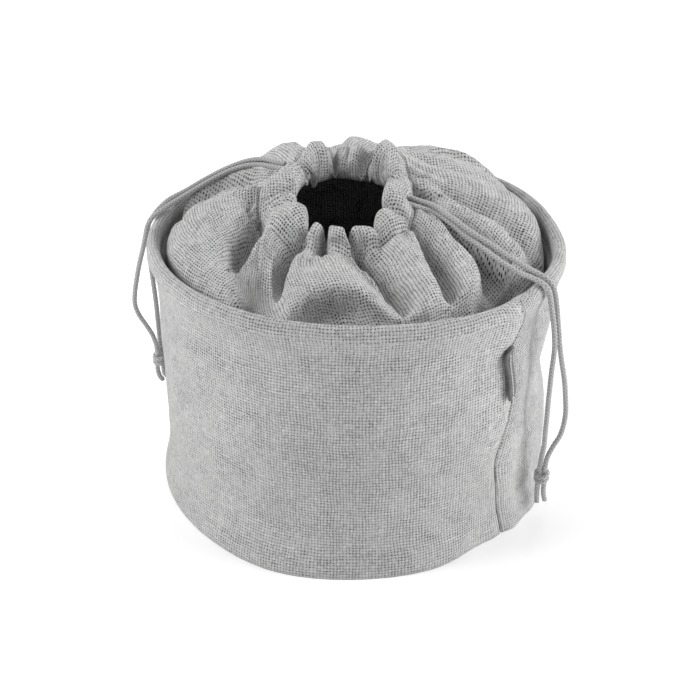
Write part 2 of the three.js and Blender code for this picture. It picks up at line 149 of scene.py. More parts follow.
# Folds of the hood round the mouth: angle at the gathering and at the wall,
# then the height near the gathering, halfway out and towards the wall
HOOD_FOLDS = (
    (-149, -115, 2, 2, -1),
    (-129, -108, -5, -5, -2),
    (-113, -96, 1, 6, -2),
    (-97, -86, 1, 8, -2),
    (-79, -77, -6, -5, -3),
    (-50, -67, 2, 3, 1),
    (-27, -62, -4, -5, -2),
    (-10, -52, 1, 2, 1),
    (-4, -42, -4, -6, -4),
    (14, -28, 2, 3, 1),
    (34, -17, -1, -4, -2),
    (43, 12, 2, 3, 4),
    (53, 23, -2, -3, 0),
    (62, 38, 3, 8, 7),
    (78, 66, -4, -5, -2),
    (91, 84, 1, 3, 3),
    (106, 102, -4, -5, -2),
    (120, 118, 1, 3, 3),
    (132, 134, -3, -3, -2),
    (143, 148, 1, 1, 1),
    (152, 160, -1, -1, 0),
    (162, 171, -2, -3, -1),
    (170, 190, 2, 4, 4),
    (188, 237, -3, -6, -3),
)

# Rows of the hood's section: heights in its stand, then how many rows each stretch has
STAND_HEIGHTS = (118, 124, 130, 137, 143)
DOME_ROWS, CASING_ROWS, LINING_ROWS = 84, 34, 32
STITCHED_ROW = len(STAND_HEIGHTS) + DOME_ROWS - 1
HEM_ROW = STITCHED_ROW + 1 + CASING_ROWS

# Deep creases of the hood, from the mouth outwards: x, y, depth, and how far it spreads
# clockwise and counterclockwise of its line
HOOD_CREASES = (
    # in front
    (
        (-28, -37, 10, 3, 1), (-34, -46, 16, 7, 1.5), (-39, -56, 18, 10, 2),
        (-42, -68, 16, 12, 2), (-45, -82, 6, 11, 3),
    ),
    (
        (-64, -33, 8, 8, 8), (-57, -48, 14, 11, 9), (-52, -64, 18, 12, 8),
        (-49, -78, 18, 12, 8), (-46, -90, 14, 12, 9),
    ),
    ((-17.5, -31, 5, 1, 1), (-18.3, -38, 13, 2, 1.6), (-19.8, -46, 16, 3.8, 2.8), (-22, -53, 4, 4, 3)),
    (
        (-6.5, -33, 8, 1, 1), (0, -46, 13, 1.6, 5), (7, -56, 16, 2.4, 10),
        (13, -70, 17, 2.8, 14), (18, -84, 13, 3, 15), (25, -97, 4, 3.5, 13),
    ),
    # to the right
    (
        (34, -27, 3, 1, 3), (37, -38, 12, 1.8, 8), (40, -52, 18, 2.2, 12),
        (43, -63, 17, 2.4, 12), (46, -72, 11, 2.8, 11), (49, -84, 3, 3, 10),
    ),
    (
        (42, -8, 4, 1.5, 3), (48, -17, 10, 1.5, 8), (55, -29, 14, 2, 12), (62, -40, 16, 2, 14),
        (68, -51, 16, 2.5, 16), (71, -64, 17, 3, 16), (68, -80, 14, 5, 13),
    ),
    (
        (50, 14, 2, 2, 6), (56, 7, 5, 2, 10), (60, 0, 8, 2, 13), (69, -5, 10, 2.5, 16),
        (78, -12, 10, 2.5, 17), (88, -20, 10, 2.5, 17), (96, -31, 4, 3, 13),
    ),
    ((33, 9, 6, 2.5, 2.5), (37, 4, 13, 3.5, 3.5), (41, -1, 13, 3.5, 3), (46, -5, 4, 2, 2)),
    # to the left
    (
        (-55, -7, 3, 3, 3), (-58, -16, 11, 3, 6), (-63, -26, 17, 3.5, 9),
        (-68, -36, 17, 4, 10), (-70, -47, 10, 5, 10),
    ),
    (
        (-58, 14, 2, 6, 2), (-65, 19, 11, 15, 2), (-73, 22.5, 15, 18, 2), (-81, 23.5, 16, 19, 2),
        (-88, 21, 14, 18, 2), (-94, 17, 9, 14, 2), (-100, 15, 3, 8, 3),
    ),
    (
        (-94, 16, 2, 4, 2), (-100, 6, 5, 7, 2.5), (-104, -5, 6, 8, 2.5),
        (-107, -16, 6, 8, 2.5), (-109, -28, 3, 6, 3),
    ),
    ((-43, -7, 3, 2, 2), (-51, -9, 7, 4, 2), (-59, -11, 3, 4, 2)),
    ((-62, 3, 1, 2, 2), (-64, -6, 4, 2, 3), (-62, -13, 2, 2, 3)),
    # at the back
    (
        (31, 47, 3, 3, 2), (42, 55, 6, 7, 2), (53, 61, 7, 9, 2),
        (66, 64, 6, 10, 2), (84, 65, 4, 8, 2.5), (94, 64, 1, 5, 3),
    ),
    ((20, 52, 2, 7, 7), (30, 54, 5, 8, 8), (40, 58, 6, 9, 9), (50, 62, 3, 8, 8), (60, 66, 1, 7, 7)),
    ((-11, 58, 1, 4, 4), (-12, 68, 5, 5, 5), (-13, 78, 5, 6, 6), (-13, 92, 2, 6, 6)),
    # short ones in the casing
    ((-24, 12, 5, 1.2, 1.2), (-37, 20, 5, 1.6, 1.6), (-43, 25, 1, 2, 2)),
    ((-21, 13, 7, 1.4, 1.4), (-31, 25, 7, 1.8, 1.8), (-37, 33, 2, 2, 2)),
    ((-12, 17, 5, 1.4, 1.4), (-14.5, 32, 5, 1.8, 1.8), (-16, 44, 1, 2, 2)),
    ((2, 18, 5, 1.4, 1.4), (6, 32, 5, 2, 2), (8, 44, 1, 2, 2)),
    ((6, 17, 6, 1.3, 1.3), (12.5, 28, 6, 1.6, 1.6), (16, 38, 2, 2, 2)),
    ((17, 4, 4, 2, 2), (30, 8, 3, 2, 2), (38, 10, 1, 2, 2)),
    ((15, -13, 5, 1.5, 1.5), (27, -19, 4, 2, 2), (36, -24, 1, 2, 2)),
)

# Tuck where the hood rolls under above the rim, in the same way
HOOD_TUCKS = (
    (
        (-60, -92, 8, 6, 9), (-44, -102, 14, 6, 10), (-30, -105, 14, 6, 8), (-14, -102, 14, 8, 7),
        (-3, -104, 12, 8, 7), (8, -106, 8, 6, 6), (20, -108, 5, 5, 5), (40, -103, 5, 5, 5),
        (60, -90, 8, 5, 6), (78, -74, 9, 5, 7), (94, -53, 8, 5, 6), (103, -33, 3, 4, 5),
    ),
)

# Power by which a crease's sides are steeper than a hill's
CREASE_STEEPNESS = 2.8
# Height over which tucks and creases set in, and the way they take for it
CREASE_START, CREASE_FADE = 139, 12
# How much of a tuck's depth goes inwards and down, and of a crease's depth into the weave's layout
TUCK_INWARDS, TUCK_DOWN, CREASE_IN_WEAVE = 0.6, 0.8, 0.65
# Depth and width of the groove at the stitched ring
RING_GROOVE_DEPTH, RING_GROOVE_WIDTH = 1.1, 1.1

# Puckers of the casing: angle, radius of the mouth's edge, how far it swells
CASING_PUCKERS = (
    (-172, 26, 2), (-163, 27.5, -1), (-146, 24, 4), (-124, 35, -8), (-115, 29, 3), (-106, 31, -1),
    (-97, 29, 3), (-89, 29.5, 2), (-84, 31, -3), (-80, 30.5, 2), (-74, 31, 3), (-57, 35, -3),
    (-42, 27.5, 4), (-28, 30.5, -1), (-8, 24, 4), (14, 27, 4), (29, 34, -5), (36, 30, 3),
    (42, 30, 10), (50, 28, 11), (58, 30, -5), (66, 26, 3), (74, 25, 6), (82, 25.5, 2),
    (88, 25.5, 4), (97, 27.5, -6), (105, 25.5, 4), (110, 25, 8.5), (118, 25, 8.5), (123, 25.5, 3),
    (128, 28, -6), (139, 27.5, 2), (148, 27, 4), (164, 26, 3), (178, 27.5, -5),
)

# The casing's outline: share of the way to the edge, distance beyond, height, share of the swell
CASING_OUTLINE = (
    (0, -2.5, -2, 0.6),
    (0.4, 0, 1.5, 1),
    (0.74, 0, 2.8, 1),
    (1, 0.8, 0.5, 0.8),
    (1, 0, -2.5, 0.3),
    (1, 2.5, -8, 0),
    (1, 7, -12.5, 0),
)

# Routes of the cords in metres, from the slits over the rim and down beside the wall
CORD_ROUTES = {
    "cord_right_a": (
        (0.0336, -0.0097, 0.1804), (0.0431, -0.0116, 0.1777), (0.0529, -0.0206, 0.1748),
        (0.0625, -0.0316, 0.1707), (0.072, -0.0418, 0.1674), (0.0814, -0.0535, 0.1648),
        (0.0888, -0.0611, 0.1631), (0.0945, -0.0683, 0.1637), (0.0998, -0.072, 0.1623),
        (0.1033, -0.0726, 0.1584), (0.1051, -0.0716, 0.1525), (0.1067, -0.0707, 0.145),
        (0.1092, -0.0695, 0.132), (0.1108, -0.0683, 0.119), (0.1106, -0.0677, 0.104),
        (0.1106, -0.0672, 0.088), (0.1107, -0.067, 0.072), (0.1108, -0.0666, 0.059),
        (0.1109, -0.0662, 0.05), (0.1101, -0.066, 0.042), (0.1096, -0.066, 0.0351),
    ),
    "cord_right_b": (
        (0.0356, -0.0049, 0.1819), (0.0451, -0.0102, 0.1805), (0.0547, -0.0213, 0.1777),
        (0.0645, -0.0307, 0.1736), (0.0749, -0.0386, 0.1697), (0.0852, -0.0489, 0.1664),
        (0.0933, -0.0571, 0.1643), (0.0984, -0.0637, 0.1642), (0.103, -0.067, 0.1622),
        (0.1065, -0.0678, 0.1584), (0.1087, -0.0667, 0.152), (0.1103, -0.0654, 0.1445),
        (0.1129, -0.064, 0.129), (0.1149, -0.0635, 0.1165), (0.1169, -0.0635, 0.1065),
        (0.1192, -0.0635, 0.096), (0.121, -0.0636, 0.084), (0.1221, -0.0638, 0.071),
        (0.1204, -0.0643, 0.058), (0.1163, -0.065, 0.049), (0.1136, -0.066, 0.042),
        (0.1128, -0.0663, 0.0349),
    ),
    "cord_left_a": (
        (-0.0472, 0.0273, 0.1893), (-0.057, 0.035, 0.1881), (-0.066, 0.0388, 0.1865),
        (-0.078, 0.0399, 0.1826), (-0.0917, 0.0379, 0.1762), (-0.1049, 0.0314, 0.1702),
        (-0.1145, 0.0234, 0.1669), (-0.1198, 0.0162, 0.1654), (-0.1236, 0.0122, 0.1633),
        (-0.1266, 0.011, 0.1584), (-0.1287, 0.0108, 0.151), (-0.131, 0.0105, 0.1425),
        (-0.1337, 0.0102, 0.1335), (-0.1362, 0.01, 0.1235), (-0.1383, 0.01, 0.1135),
        (-0.139, 0.01, 0.1055), (-0.1374, 0.01, 0.0985), (-0.1336, 0.01, 0.091),
        (-0.1299, 0.0102, 0.083), (-0.1284, 0.0106, 0.076), (-0.128, 0.011, 0.0703),
    ),
    "cord_left_b": (
        (-0.048, 0.031, 0.1915), (-0.0576, 0.0384, 0.1906), (-0.067, 0.0425, 0.188),
        (-0.0785, 0.0434, 0.1836), (-0.0922, 0.0416, 0.1772), (-0.1056, 0.0354, 0.1712),
        (-0.1152, 0.0276, 0.1685), (-0.1204, 0.0208, 0.1657), (-0.1239, 0.0172, 0.1622),
        (-0.1265, 0.0165, 0.1584), (-0.1281, 0.0164, 0.151), (-0.1282, 0.0163, 0.141),
        (-0.128, 0.016, 0.131), (-0.1275, 0.0158, 0.121), (-0.127, 0.0155, 0.111),
        (-0.1266, 0.015, 0.101), (-0.1265, 0.0147, 0.091), (-0.1264, 0.0145, 0.081),
        (-0.1263, 0.0143, 0.0704),
    ),
}

# Points of a cord's fine centreline, and the stretch of it that lies on the hood
CORD_POINTS = 800
OVER_HOOD = slice(64, 440, 4)

# The cord's braid: length of one crossing, crossings round it, depth
BRAID_PITCH, BRAID_STRANDS, BRAID_DEPTH = 2.4, 4, 0.11

# Faces round a cord, a knot's strand and a sewing thread
CORD_SIDES, KNOT_SIDES, THREAD_SIDES = 32, 24, 8

# Knots: place in metres, the two strands, where the tails' ends drift to, how far they part
KNOTS = {
    "knot_right": ((0.1113, -0.0662, 0.0285), ("cord_right_a", "cord_right_b"), (1, 0), 0.7),
    "knot_left": ((-0.1272, 0.0127, 0.064), ("cord_left_a", "cord_left_b"), (2, 6), 0.6),
}

# The label's rows: height, azimuth at the seam, azimuth at its folded edge
LABEL_ROWS = (
    (97, -43.2, -46.2),
    (101, -43.2, -46.8),
    (108, -43.7, -47.2),
    (116, -44.6, -48),
    (123, -45.5, -49.3),
    (128, -45.6, -49.6),
    (131, -45.4, -48.4),
)

# Section of the folded label: distance from the seam, distance off the wall
LABEL_SECTION = ((0, 2.3), (4, 2.8), (7.4, 3), (8.2, 2.3), (7.4, 1.7), (4, 1.3), (0, 0.9))
LABEL_WIDTH, LABEL_CLOTH = 8, 0.6
# Height of the label, and the way round both faces of its ribbon
LABEL_HEIGHT, LABEL_ROUND = 31.0, 34.0

# Its stitches, as in the side seam, then their angle from the seam, lift off the wall and arch
LABEL_STITCHES = (98, 129, 2.4, 1.7, 0.45)
LABEL_STITCH_SIDE, LABEL_STITCH_LIFT, LABEL_STITCH_ARCH = -2.2, 3.3, 0.4

# The camera: what it looks at and its distance in metres, its elevation, and its lens
# as a focal length in pixels of an image that is 700 wide
CAMERA_TARGET, CAMERA_DISTANCE = (-0.0043, 0.0, 0.078), 0.735
CAMERA_ELEVATION = 30.5
FOCAL_PIXELS, IMAGE_WIDTH, SENSOR_WIDTH = 1165, 700, 36

# The studio: half the floor's width, the surround's strength, and the lights in metres and watts:
# name, place, width, power
FLOOR_HALF = 4000.0
SURROUND_STRENGTH = 0.27
LIGHTS_AIM = Vector((0, 0, 0.12))
LIGHTS = (
    ("left_softbox", (-2.1, -0.1, 1.35), 1.4, 52.0),
    ("right_softbox", (2.25, -0.1, 0.95), 1.4, 58.0),
    ("top_softbox", (0.0, 1.1, 2.1), 1.6, 16.0),
    ("front_reflector", (0.0, -0.75, 0.04), 0.3, 0.7),
)


# Sizes and colours that a user would change


def length_property(name, description, default, least):
    return FloatProperty(name=name, description=description, default=default, min=least, unit="LENGTH")


def colour_property(name, description, default):
    return FloatVectorProperty(
        name=name, description=description, default=default, min=0, max=1, size=3, subtype="COLOR"
    )


class BagSizes(PropertyGroup):
    """Sizes of the bag, in metres"""

    body_radius: length_property("Body Radius", "Outer radius of the wall halfway up", 0.1202, 0.05)
    rim_radius: length_property("Rim Radius", "Outer radius of the rolled rim", 0.1244, 0.05)
    foot_radius: length_property("Foot Radius", "Outer radius of the wall at the floor", 0.1256, 0.05)
    rim_height: length_property("Rim Height", "Height of the rolled rim above the floor", 0.163, 0.05)
    rim_roll: length_property("Rim Roll", "Width of the roll at the rim", 0.008, 0.004)
    cuff_depth: length_property("Cuff Depth", "How far the wall turns down inside", 0.045, 0.02)
    wall_cloth: length_property("Wall Cloth", "Thickness of the wall with its stiffening", 0.0022, 0.001)
    hood_cloth: length_property("Hood Cloth", "Thickness of the hood with its lining", 0.0024, 0.001)
    layer_gap: length_property("Layer Gap", "Air between the wall and its cuff", 0.002, 0.0)
    seam_gap: length_property("Seam Gap", "Air between pieces that are sewn together", 0.0005, 0.0)
    cord_diameter: length_property("Cord Diameter", "Thickness of the braided drawcord", 0.003, 0.001)


class BagWeave(PropertyGroup):
    """Spacing of the jute's threads, in metres"""

    wall_across: length_property("Wall Across", "Spacing of the wall's upright threads", 0.00179, 0.0005)
    wall_up: length_property("Wall Up", "Spacing of the wall's level threads", 0.00182, 0.0005)
    hood_across: length_property("Hood Across", "Spacing of the threads round the hood", 0.00185, 0.0005)
    hood_up: length_property("Hood Up", "Spacing of the threads towards the mouth", 0.002, 0.0005)


class BagColours(PropertyGroup):
    """Colours of the bag and its floor"""

    wall: colour_property("Wall", "Colour of the wall's jute", (0.44, 0.44, 0.437))
    # The hood's jute is set lighter than the wall's partly as painted light, for the hood facing up towards
    # the lamps
    hood: colour_property("Hood", "Colour of the hood's jute", (0.5, 0.5, 0.497))
    cord: colour_property("Cord", "Colour of the drawcord", (0.47, 0.47, 0.47))
    ribbon: colour_property("Ribbon", "Colour of the label", (0.11, 0.11, 0.11))
    stitch: colour_property("Stitching", "Colour of the sewing thread", (0.75, 0.75, 0.75))
    floor: colour_property("Floor", "Colour of the studio floor", (0.97, 0.97, 0.97))


# Curves and surfaces


def bump(distance, width):
    """A smooth hill of height 1."""
    return np.exp(-((distance / width) ** 2))


def smooth(x):
    """From 0 to 1, level at both ends."""
    c = np.clip(x, 0, 1)
    return c * c * (3 - 2 * c)


def mix(a, b, share):
    return a + (b - a) * share


def turn(start, end):
    """The shorter way round from one angle to another."""
    return (end - start + 180) % 360 - 180


def steps(points, axis=0):
    """Distances from each point to the next one."""
    return np.linalg.norm(np.diff(points, axis=axis), axis=-1)


def running(parts, axis=0):
    """How far the parts have come together before and after each of them."""
    return np.insert(np.cumsum(parts, axis=axis), 0, 0, axis=axis)


def swell(start, end, share, fullness):
    """From one height to the next: full ridges and tight valleys where fullness is below 1.

    Above 1 it is the other way round, with full valleys and tight ridges.
    """
    low = np.minimum(start, end)
    span = np.abs(end - start) + 1e-9
    level = (mix(start, end, (1 - np.cos(math.pi * share)) / 2) - low) / span
    level = np.clip(level, 0, 1)
    if fullness > 1:
        return low + span * (1 - (1 - level) ** (1 / fullness))
    return low + span * level**fullness


def wave(rows, column, angle, fullness):
    """Value of a table's column round the bag, as a soft wave from row to row."""
    start = rows[0][0]
    angles = np.array([row[0] - start for row in rows] + [360.0])
    values = np.array([row[column] for row in rows] + [rows[0][column]], float)
    at = (np.asarray(angle, float) - start) % 360
    low = np.clip(np.searchsorted(angles, at, side="right") - 1, 0, len(rows) - 1)
    share = (at - angles[low]) / (angles[low + 1] - angles[low])
    return swell(values[low], values[low + 1], share, fullness)


def cubic(p, t):
    """Value of a curve with four control values, and its slope there but for a factor."""
    s = 1 - t
    value = s**3 * p[0] + 3 * s**2 * t * p[1] + 3 * s * t * t * p[2] + t**3 * p[3]
    slope = s**2 * (p[1] - p[0]) + 2 * s * t * (p[2] - p[1]) + t * t * (p[3] - p[2])
    return value, slope


def spline(points, count):
    """Points spaced evenly along a smooth curve through the given ones."""
    points = np.asarray(points, float)
    ends = np.vstack([2 * points[0] - points[1], points, 2 * points[-1] - points[-2]])
    knots = running(steps(ends) ** 0.5)
    fine = []
    for i in range(1, len(ends) - 2):
        t0, t1, t2, t3 = knots[i - 1 : i + 3]
        p0, p1, p2, p3 = ends[i - 1 : i + 3]
        for t in np.linspace(t1, t2, 24, endpoint=False):
            a1 = ((t1 - t) * p0 + (t - t0) * p1) / (t1 - t0)
            a2 = ((t2 - t) * p1 + (t - t1) * p2) / (t2 - t1)
            a3 = ((t3 - t) * p2 + (t - t2) * p3) / (t3 - t2)
            b1 = ((t2 - t) * a1 + (t - t0) * a2) / (t2 - t0)
            b2 = ((t3 - t) * a2 + (t - t1) * a3) / (t3 - t1)
            fine.append(((t2 - t) * b1 + (t - t1) * b2) / (t2 - t1))
    fine = np.vstack([fine, points[-1:]])
    along = running(steps(fine))
    at = np.linspace(0, along[-1], count)
    return np.stack([np.interp(at, along, fine[:, k]) for k in range(points.shape[1])], axis=1)


def rumple(points, size, seed):
    """Gentle unevenness of cloth: a sum of seeded waves about size millimetres long."""
    chance = np.random.default_rng(seed)
    total = np.zeros(points.shape[:-1])
    for _ in range(18):
        way = chance.normal(size=3)
        way *= 2 * math.pi / (np.linalg.norm(way) * size * chance.uniform(0.6, 1.7))
        total += np.sin(points @ way + chance.uniform(0, 2 * math.pi))
    return total / 3.0


def rumples(points, layers):
    return sum(rumple(points, size, seed) * height for size, seed, height in layers)


def crease_depth(spots, creases):
    """How far the creases draw the cloth down at the given spots seen from above."""
    deepest = np.zeros(spots.shape[:-1])
    for crease in creases:
        for (ax, ay, *start), (bx, by, *end) in zip(crease, crease[1:]):
            run = np.hypot(bx - ax, by - ay)
            from_x, from_y = spots[..., 0] - ax, spots[..., 1] - ay
            along = np.clip((from_x * (bx - ax) + from_y * (by - ay)) / run**2, 0, 1)
            side = (from_y * (bx - ax) - from_x * (by - ay)) / run
            away = np.hypot(from_x - along * (bx - ax), from_y - along * (by - ay))
            depth, clockwise, counter = (mix(a, b, along) for a, b in zip(start, end))
            wide = np.where(side > 0, counter, clockwise)
            deepest = np.maximum(deepest, depth * np.exp(-((away / wide) ** CREASE_STEEPNESS)))
    return deepest


def polar(azimuth, radius, height):
    """Points round the bag's axis."""
    x = radius * np.cos(azimuth * DEGREE)
    y = radius * np.sin(azimuth * DEGREE)
    return np.stack(np.broadcast_arrays(x, y, height), axis=-1)


def seam_azimuth(height):
    return np.interp(height, *zip(*SEAM_PATH))


def mouth_point(angle, radius, above):
    """A point round the mouth's centre, at a height above the mouth's slanting plane."""
    x = MOUTH_X + radius * np.cos(angle * DEGREE)
    y = MOUTH_Y + radius * np.sin(angle * DEGREE)
    z = MOUTH_HEIGHT + MOUTH_SLOPE * (y - MOUTH_Y) + above
    return np.stack(np.broadcast_arrays(x, y, z), axis=-1)


def ring_point(angle):
    """A point of the stitched ring round the mouth."""
    rise = wave(HOOD_FOLDS, 2, angle, RING_FULLNESS) + wave(CASING_PUCKERS, 2, angle, PUCKER_FULLNESS)
    return mouth_point(angle, ring_radius(angle), RING_LEVEL + RING_SHARE * rise)


def ring_radius(angle):
    sine, cosine = np.sin(angle * DEGREE), np.cos(angle * DEGREE)
    radius = RING_RADIUS + RING_ACROSS * cosine**2 - RING_LEFT * cosine + RING_BEHIND * np.maximum(0, sine)
    out, at, wide = RING_BULGE
    radius = radius + out * bump(turn(angle, at), wide)
    for slit in SLIT_ANGLES:
        radius = radius - SLIT_DEPTH * bump(turn(angle, slit), SLIT_SPREAD)
    return radius


def casing_point(angle, row):
    """A point of the puckered casing, for a row of its outline."""
    inwards, beyond, above, share = row
    edge = wave(CASING_PUCKERS, 1, angle, EDGE_FULLNESS)
    puff = wave(CASING_PUCKERS, 2, angle, PUCKER_FULLNESS)
    radius = mix(ring_radius(angle), edge, inwards) + beyond
    return mouth_point(angle, radius, above + share * puff)


def fold_columns(step):
    """Phases of the hood's columns, which run along its folds, and the first column of each valley.

    A column's phase is the number of its fold and the share of the way to the next one.
    The columns begin in a valley, and every fold has one of its own.
    """
    count = len(HOOD_FOLDS)
    first = next(k for k, fold in enumerate(HOOD_FOLDS) if fold[2] < 0)
    phases, valleys = [], []
    for k in range(first, first + count):
        near, far, height, *_ = HOOD_FOLDS[k % count]
        next_near, next_far, *_ = HOOD_FOLDS[(k + 1) % count]
        if height < 0:
            valleys.append(len(phases))
        wide = max((next_far - far) % 360, ((next_near - near) % 360) * 0.5)
        parts = max(4, round(wide / step))
        phases.extend(k % count + np.arange(parts) / parts)
    return np.array(phases), valleys


def fold_angle(phase, column):
    """Angle of the hood's cloth: column 0 is at the gathering, 1 at the wall."""
    angles = [fold[column] for fold in HOOD_FOLDS]
    angles.append(angles[0] + 360)
    return np.interp(phase, np.arange(len(angles)), angles)


def fold_height(phase, column):
    """Height of the hood's folds: column 2 is near the gathering, 3 halfway out, 4 towards the wall."""
    heights = np.array([fold[column] for fold in HOOD_FOLDS + HOOD_FOLDS[:1]], float)
    low = np.floor(phase).astype(int)
    return swell(heights[low], heights[low + 1], phase - low, FOLD_FULLNESS)


class BagShape:
    """The surfaces that follow from the sizes in the panel, in millimetres."""

    def __init__(self, sizes):
        self.body = sizes.body_radius / MM
        self.rim = sizes.rim_radius / MM
        self.foot = sizes.foot_radius / MM
        self.top = sizes.rim_height / MM
        self.roll = sizes.rim_roll / MM
        self.cuff_end = self.top - sizes.cuff_depth / MM
        self.wall_cloth = sizes.wall_cloth / MM
        self.hood_cloth = sizes.hood_cloth / MM
        self.cuff_stack = 2 * self.wall_cloth + sizes.layer_gap / MM
        self.seam_gap = sizes.seam_gap / MM

    def wall_radius(self, azimuth, height):
        """The wall's outer face, with its flares, dents, seam and crease."""
        start, end = RIM_FLARE
        flare = smooth((height - start) / (end - start))
        radius = self.body + (self.foot - self.body) * bump(height, FOOT_FLARE)
        radius = radius + (self.rim - self.body) * flare
        for at, level, out, wide, above, below in WALL_DENTS:
            away = height - level
            spread = np.where(away > 0, above, below)
            radius = radius + out * bump(turn(azimuth, at), wide) * bump(away, spread)
        for path, depth, wide, ease in WALL_GROOVES:
            line = np.interp(height, *zip(*path))
            radius = radius - depth * (1 - ease * flare) * bump(turn(azimuth, line), wide)
        return radius

    def rim_top(self, azimuth):
        height = self.top + 0 * azimuth
        for at, down, wide in RIM_DIPS:
            height = height - down * bump(turn(azimuth, at), wide)
        return height

    def dipped(self, azimuth, height):
        """A height in the wall, lowered in proportion where the rim dips."""
        return height * self.rim_top(azimuth) / self.top

    def stand_radius(self, azimuth, height):
        """The hood's stand, which keeps clear of the wall's seam and crease to each side."""
        away = STAND_EASE * smooth((height - STAND_EASE_FROM) / (STAND_TOP - STAND_EASE_FROM))
        sides = [self.wall_radius(azimuth + side, height) for side in (-STAND_REACH, 0, STAND_REACH)]
        return np.minimum.reduce(sides) - self.cuff_stack - self.seam_gap - away

    def dome(self, phase, out, inset, relief=0.0):
        """Points of the hood between the stitched ring (out 0) and its stand (out 1)."""
        t = 1 - out
        angle = mix(fold_angle(phase, 0), fold_angle(phase, 1), 1 - t**FOLD_SWING)
        back = (1 + np.sin(angle * DEGREE)) / 2
        neck, neck_z, shoulder_z = (a + b * back for a, b in (NECK_RADIUS, NECK_HEIGHT, SHOULDER_HEIGHT))
        foot = self.stand_radius(angle, STAND_TOP)
        foot_z = self.dipped(angle, STAND_TOP)
        radius, way_x = cubic((foot, foot + 1, neck, ring_radius(angle)), t)
        z, way_z = cubic((foot_z, shoulder_z, neck_z, ring_point(angle)[..., 2]), t)
        inner = mix(fold_height(phase, 2), fold_height(phase, 3), smooth(out / 0.4))
        height = mix(inner, fold_height(phase, 4), smooth((out - 0.4) / 0.4))
        lift = height * smooth(out / 0.1) * smooth((1 - out) / 0.25) + relief - inset
        size = np.hypot(way_x, way_z)
        points = polar(angle, radius + way_z / size * lift, z - way_x / size * lift)
        points[..., 0] += MOUTH_X * smooth(t)
        points[..., 1] += MOUTH_Y * smooth(t)
        return points


# Meshes


def add_mesh(name, points, faces, corner_uvs, material):
    """A smooth mesh from points in millimetres, a list of faces, and a UV in metres for each corner."""
    mesh = bpy.data.meshes.new(name)
    mesh.from_pydata((np.asarray(points) * MM).tolist(), [], faces)
    layer = mesh.uv_layers.new(name="UVMap")
    layer.data.foreach_set("uv", np.asarray(corner_uvs, float).ravel())
    mesh.polygons.foreach_set("use_smooth", np.ones(len(mesh.polygons), bool))
    mesh.materials.append(material)
    mesh.update()
    piece = bpy.data.objects.new(name, mesh)
    bpy.context.scene.collection.objects.link(piece)
    return piece


def grid_faces(rows, columns, bands):
    """Faces between the rows of a grid whose columns go round, and also its rows where bands is rows."""
    r, c = np.meshgrid(np.arange(bands), np.arange(columns), indexing="ij")
    above, beside = (r + 1) % rows, (c + 1) % columns
    corners = (r * columns + c, r * columns + beside, above * columns + beside, above * columns + c)
    return np.stack(corners, axis=-1).reshape(-1, 4).tolist()


def fan(first, count, centre, turned):
    """Triangles from a ring of points to its centre, turned over or not."""
    pairs = [(first + k, first + (k + 1) % count) for k in range(count)]
    return [(b, a, centre) if turned else (a, b, centre) for a, b in pairs]


def at_corners(values, faces):
    """The points' values at the corners of the faces."""
    return np.asarray(values)[[number for face in faces for number in face]]


def ring_sheet(name, points, left_u, right_u, v, material):
    """A closed sheet: rows of points that go round its section, and columns round the bag.

    A face takes left_u on its own column and right_u on the next, and v along both.
    """
    rows, columns = points.shape[:2]
    left = np.stack(np.broadcast_arrays(left_u, v), axis=-1)
    right = np.stack(np.broadcast_arrays(right_u, np.roll(v, -1, axis=1)), axis=-1)
    uvs = np.stack([left[:-1], right[:-1], right[1:], left[1:]], axis=2)
    faces = grid_faces(rows, columns, rows)
    return add_mesh(name, points.reshape(-1, 3), faces, uvs.reshape(-1, 2) * MM, material)


def along_rows(points):
    """Distance down each column from its first row, with the way back to it as a last row."""
    return running(steps(np.concatenate([points, points[:1]])))


def tube(points, radius, sides, relief=None):
    """A closed tube along a path: points, faces, and corner UVs (share of the way round, metres along)."""
    count = len(points)
    ways = np.gradient(points, axis=0)
    ways /= np.linalg.norm(ways, axis=1)[:, None]
    side = np.cross(ways[0], (0.3, 0.5, 0.8))
    across = np.empty(ways.shape)
    for row, way in enumerate(ways):
        side = side - way * (side @ way)
        side /= np.linalg.norm(side)
        across[row] = side
    up = np.cross(ways, across)
    along = running(steps(points))
    turns = 2 * math.pi * np.arange(sides) / sides
    radii = np.full((count, sides), radius, float)
    if relief is not None:
        radii = radii + relief(turns, along[:, None])
    ring = across[:, None] * np.cos(turns)[:, None] + up[:, None] * np.sin(turns)[:, None]
    verts = (points[:, None] + ring * radii[..., None]).reshape(-1, 3)
    ends = [points[0] - ways[0] * radius * 0.5, points[-1] + ways[-1] * radius * 0.5]
    r, c = np.divmod(np.arange((count - 1) * sides), sides)
    share = np.stack([c, c + 1, c + 1, c], axis=-1) / sides
    metres = along[np.stack([r, r, r + 1, r + 1], axis=-1)] * MM
    uvs = np.stack([share, metres], axis=-1).reshape(-1, 2)
    end_uvs = [(c / sides, along[row] * MM) for row in (0, -1) for c in np.repeat(np.arange(sides), 3)]
    caps = fan(0, sides, len(verts), True) + fan((count - 1) * sides, sides, len(verts) + 1, False)
    return np.vstack([verts, ends]), grid_faces(count, sides, count - 1) + caps, np.vstack([uvs, end_uvs])


def add_tubes(name, tubes, material):
    """One piece from several closed tubes."""
    faces, base = [], 0
    for points, its_faces, _ in tubes:
        faces.extend([[number + base for number in face] for face in its_faces])
        base += len(points)
    points = np.vstack([made[0] for made in tubes])
    uvs = np.vstack([made[2] for made in tubes])
    return add_mesh(name, points, faces, uvs, material)


# Materials


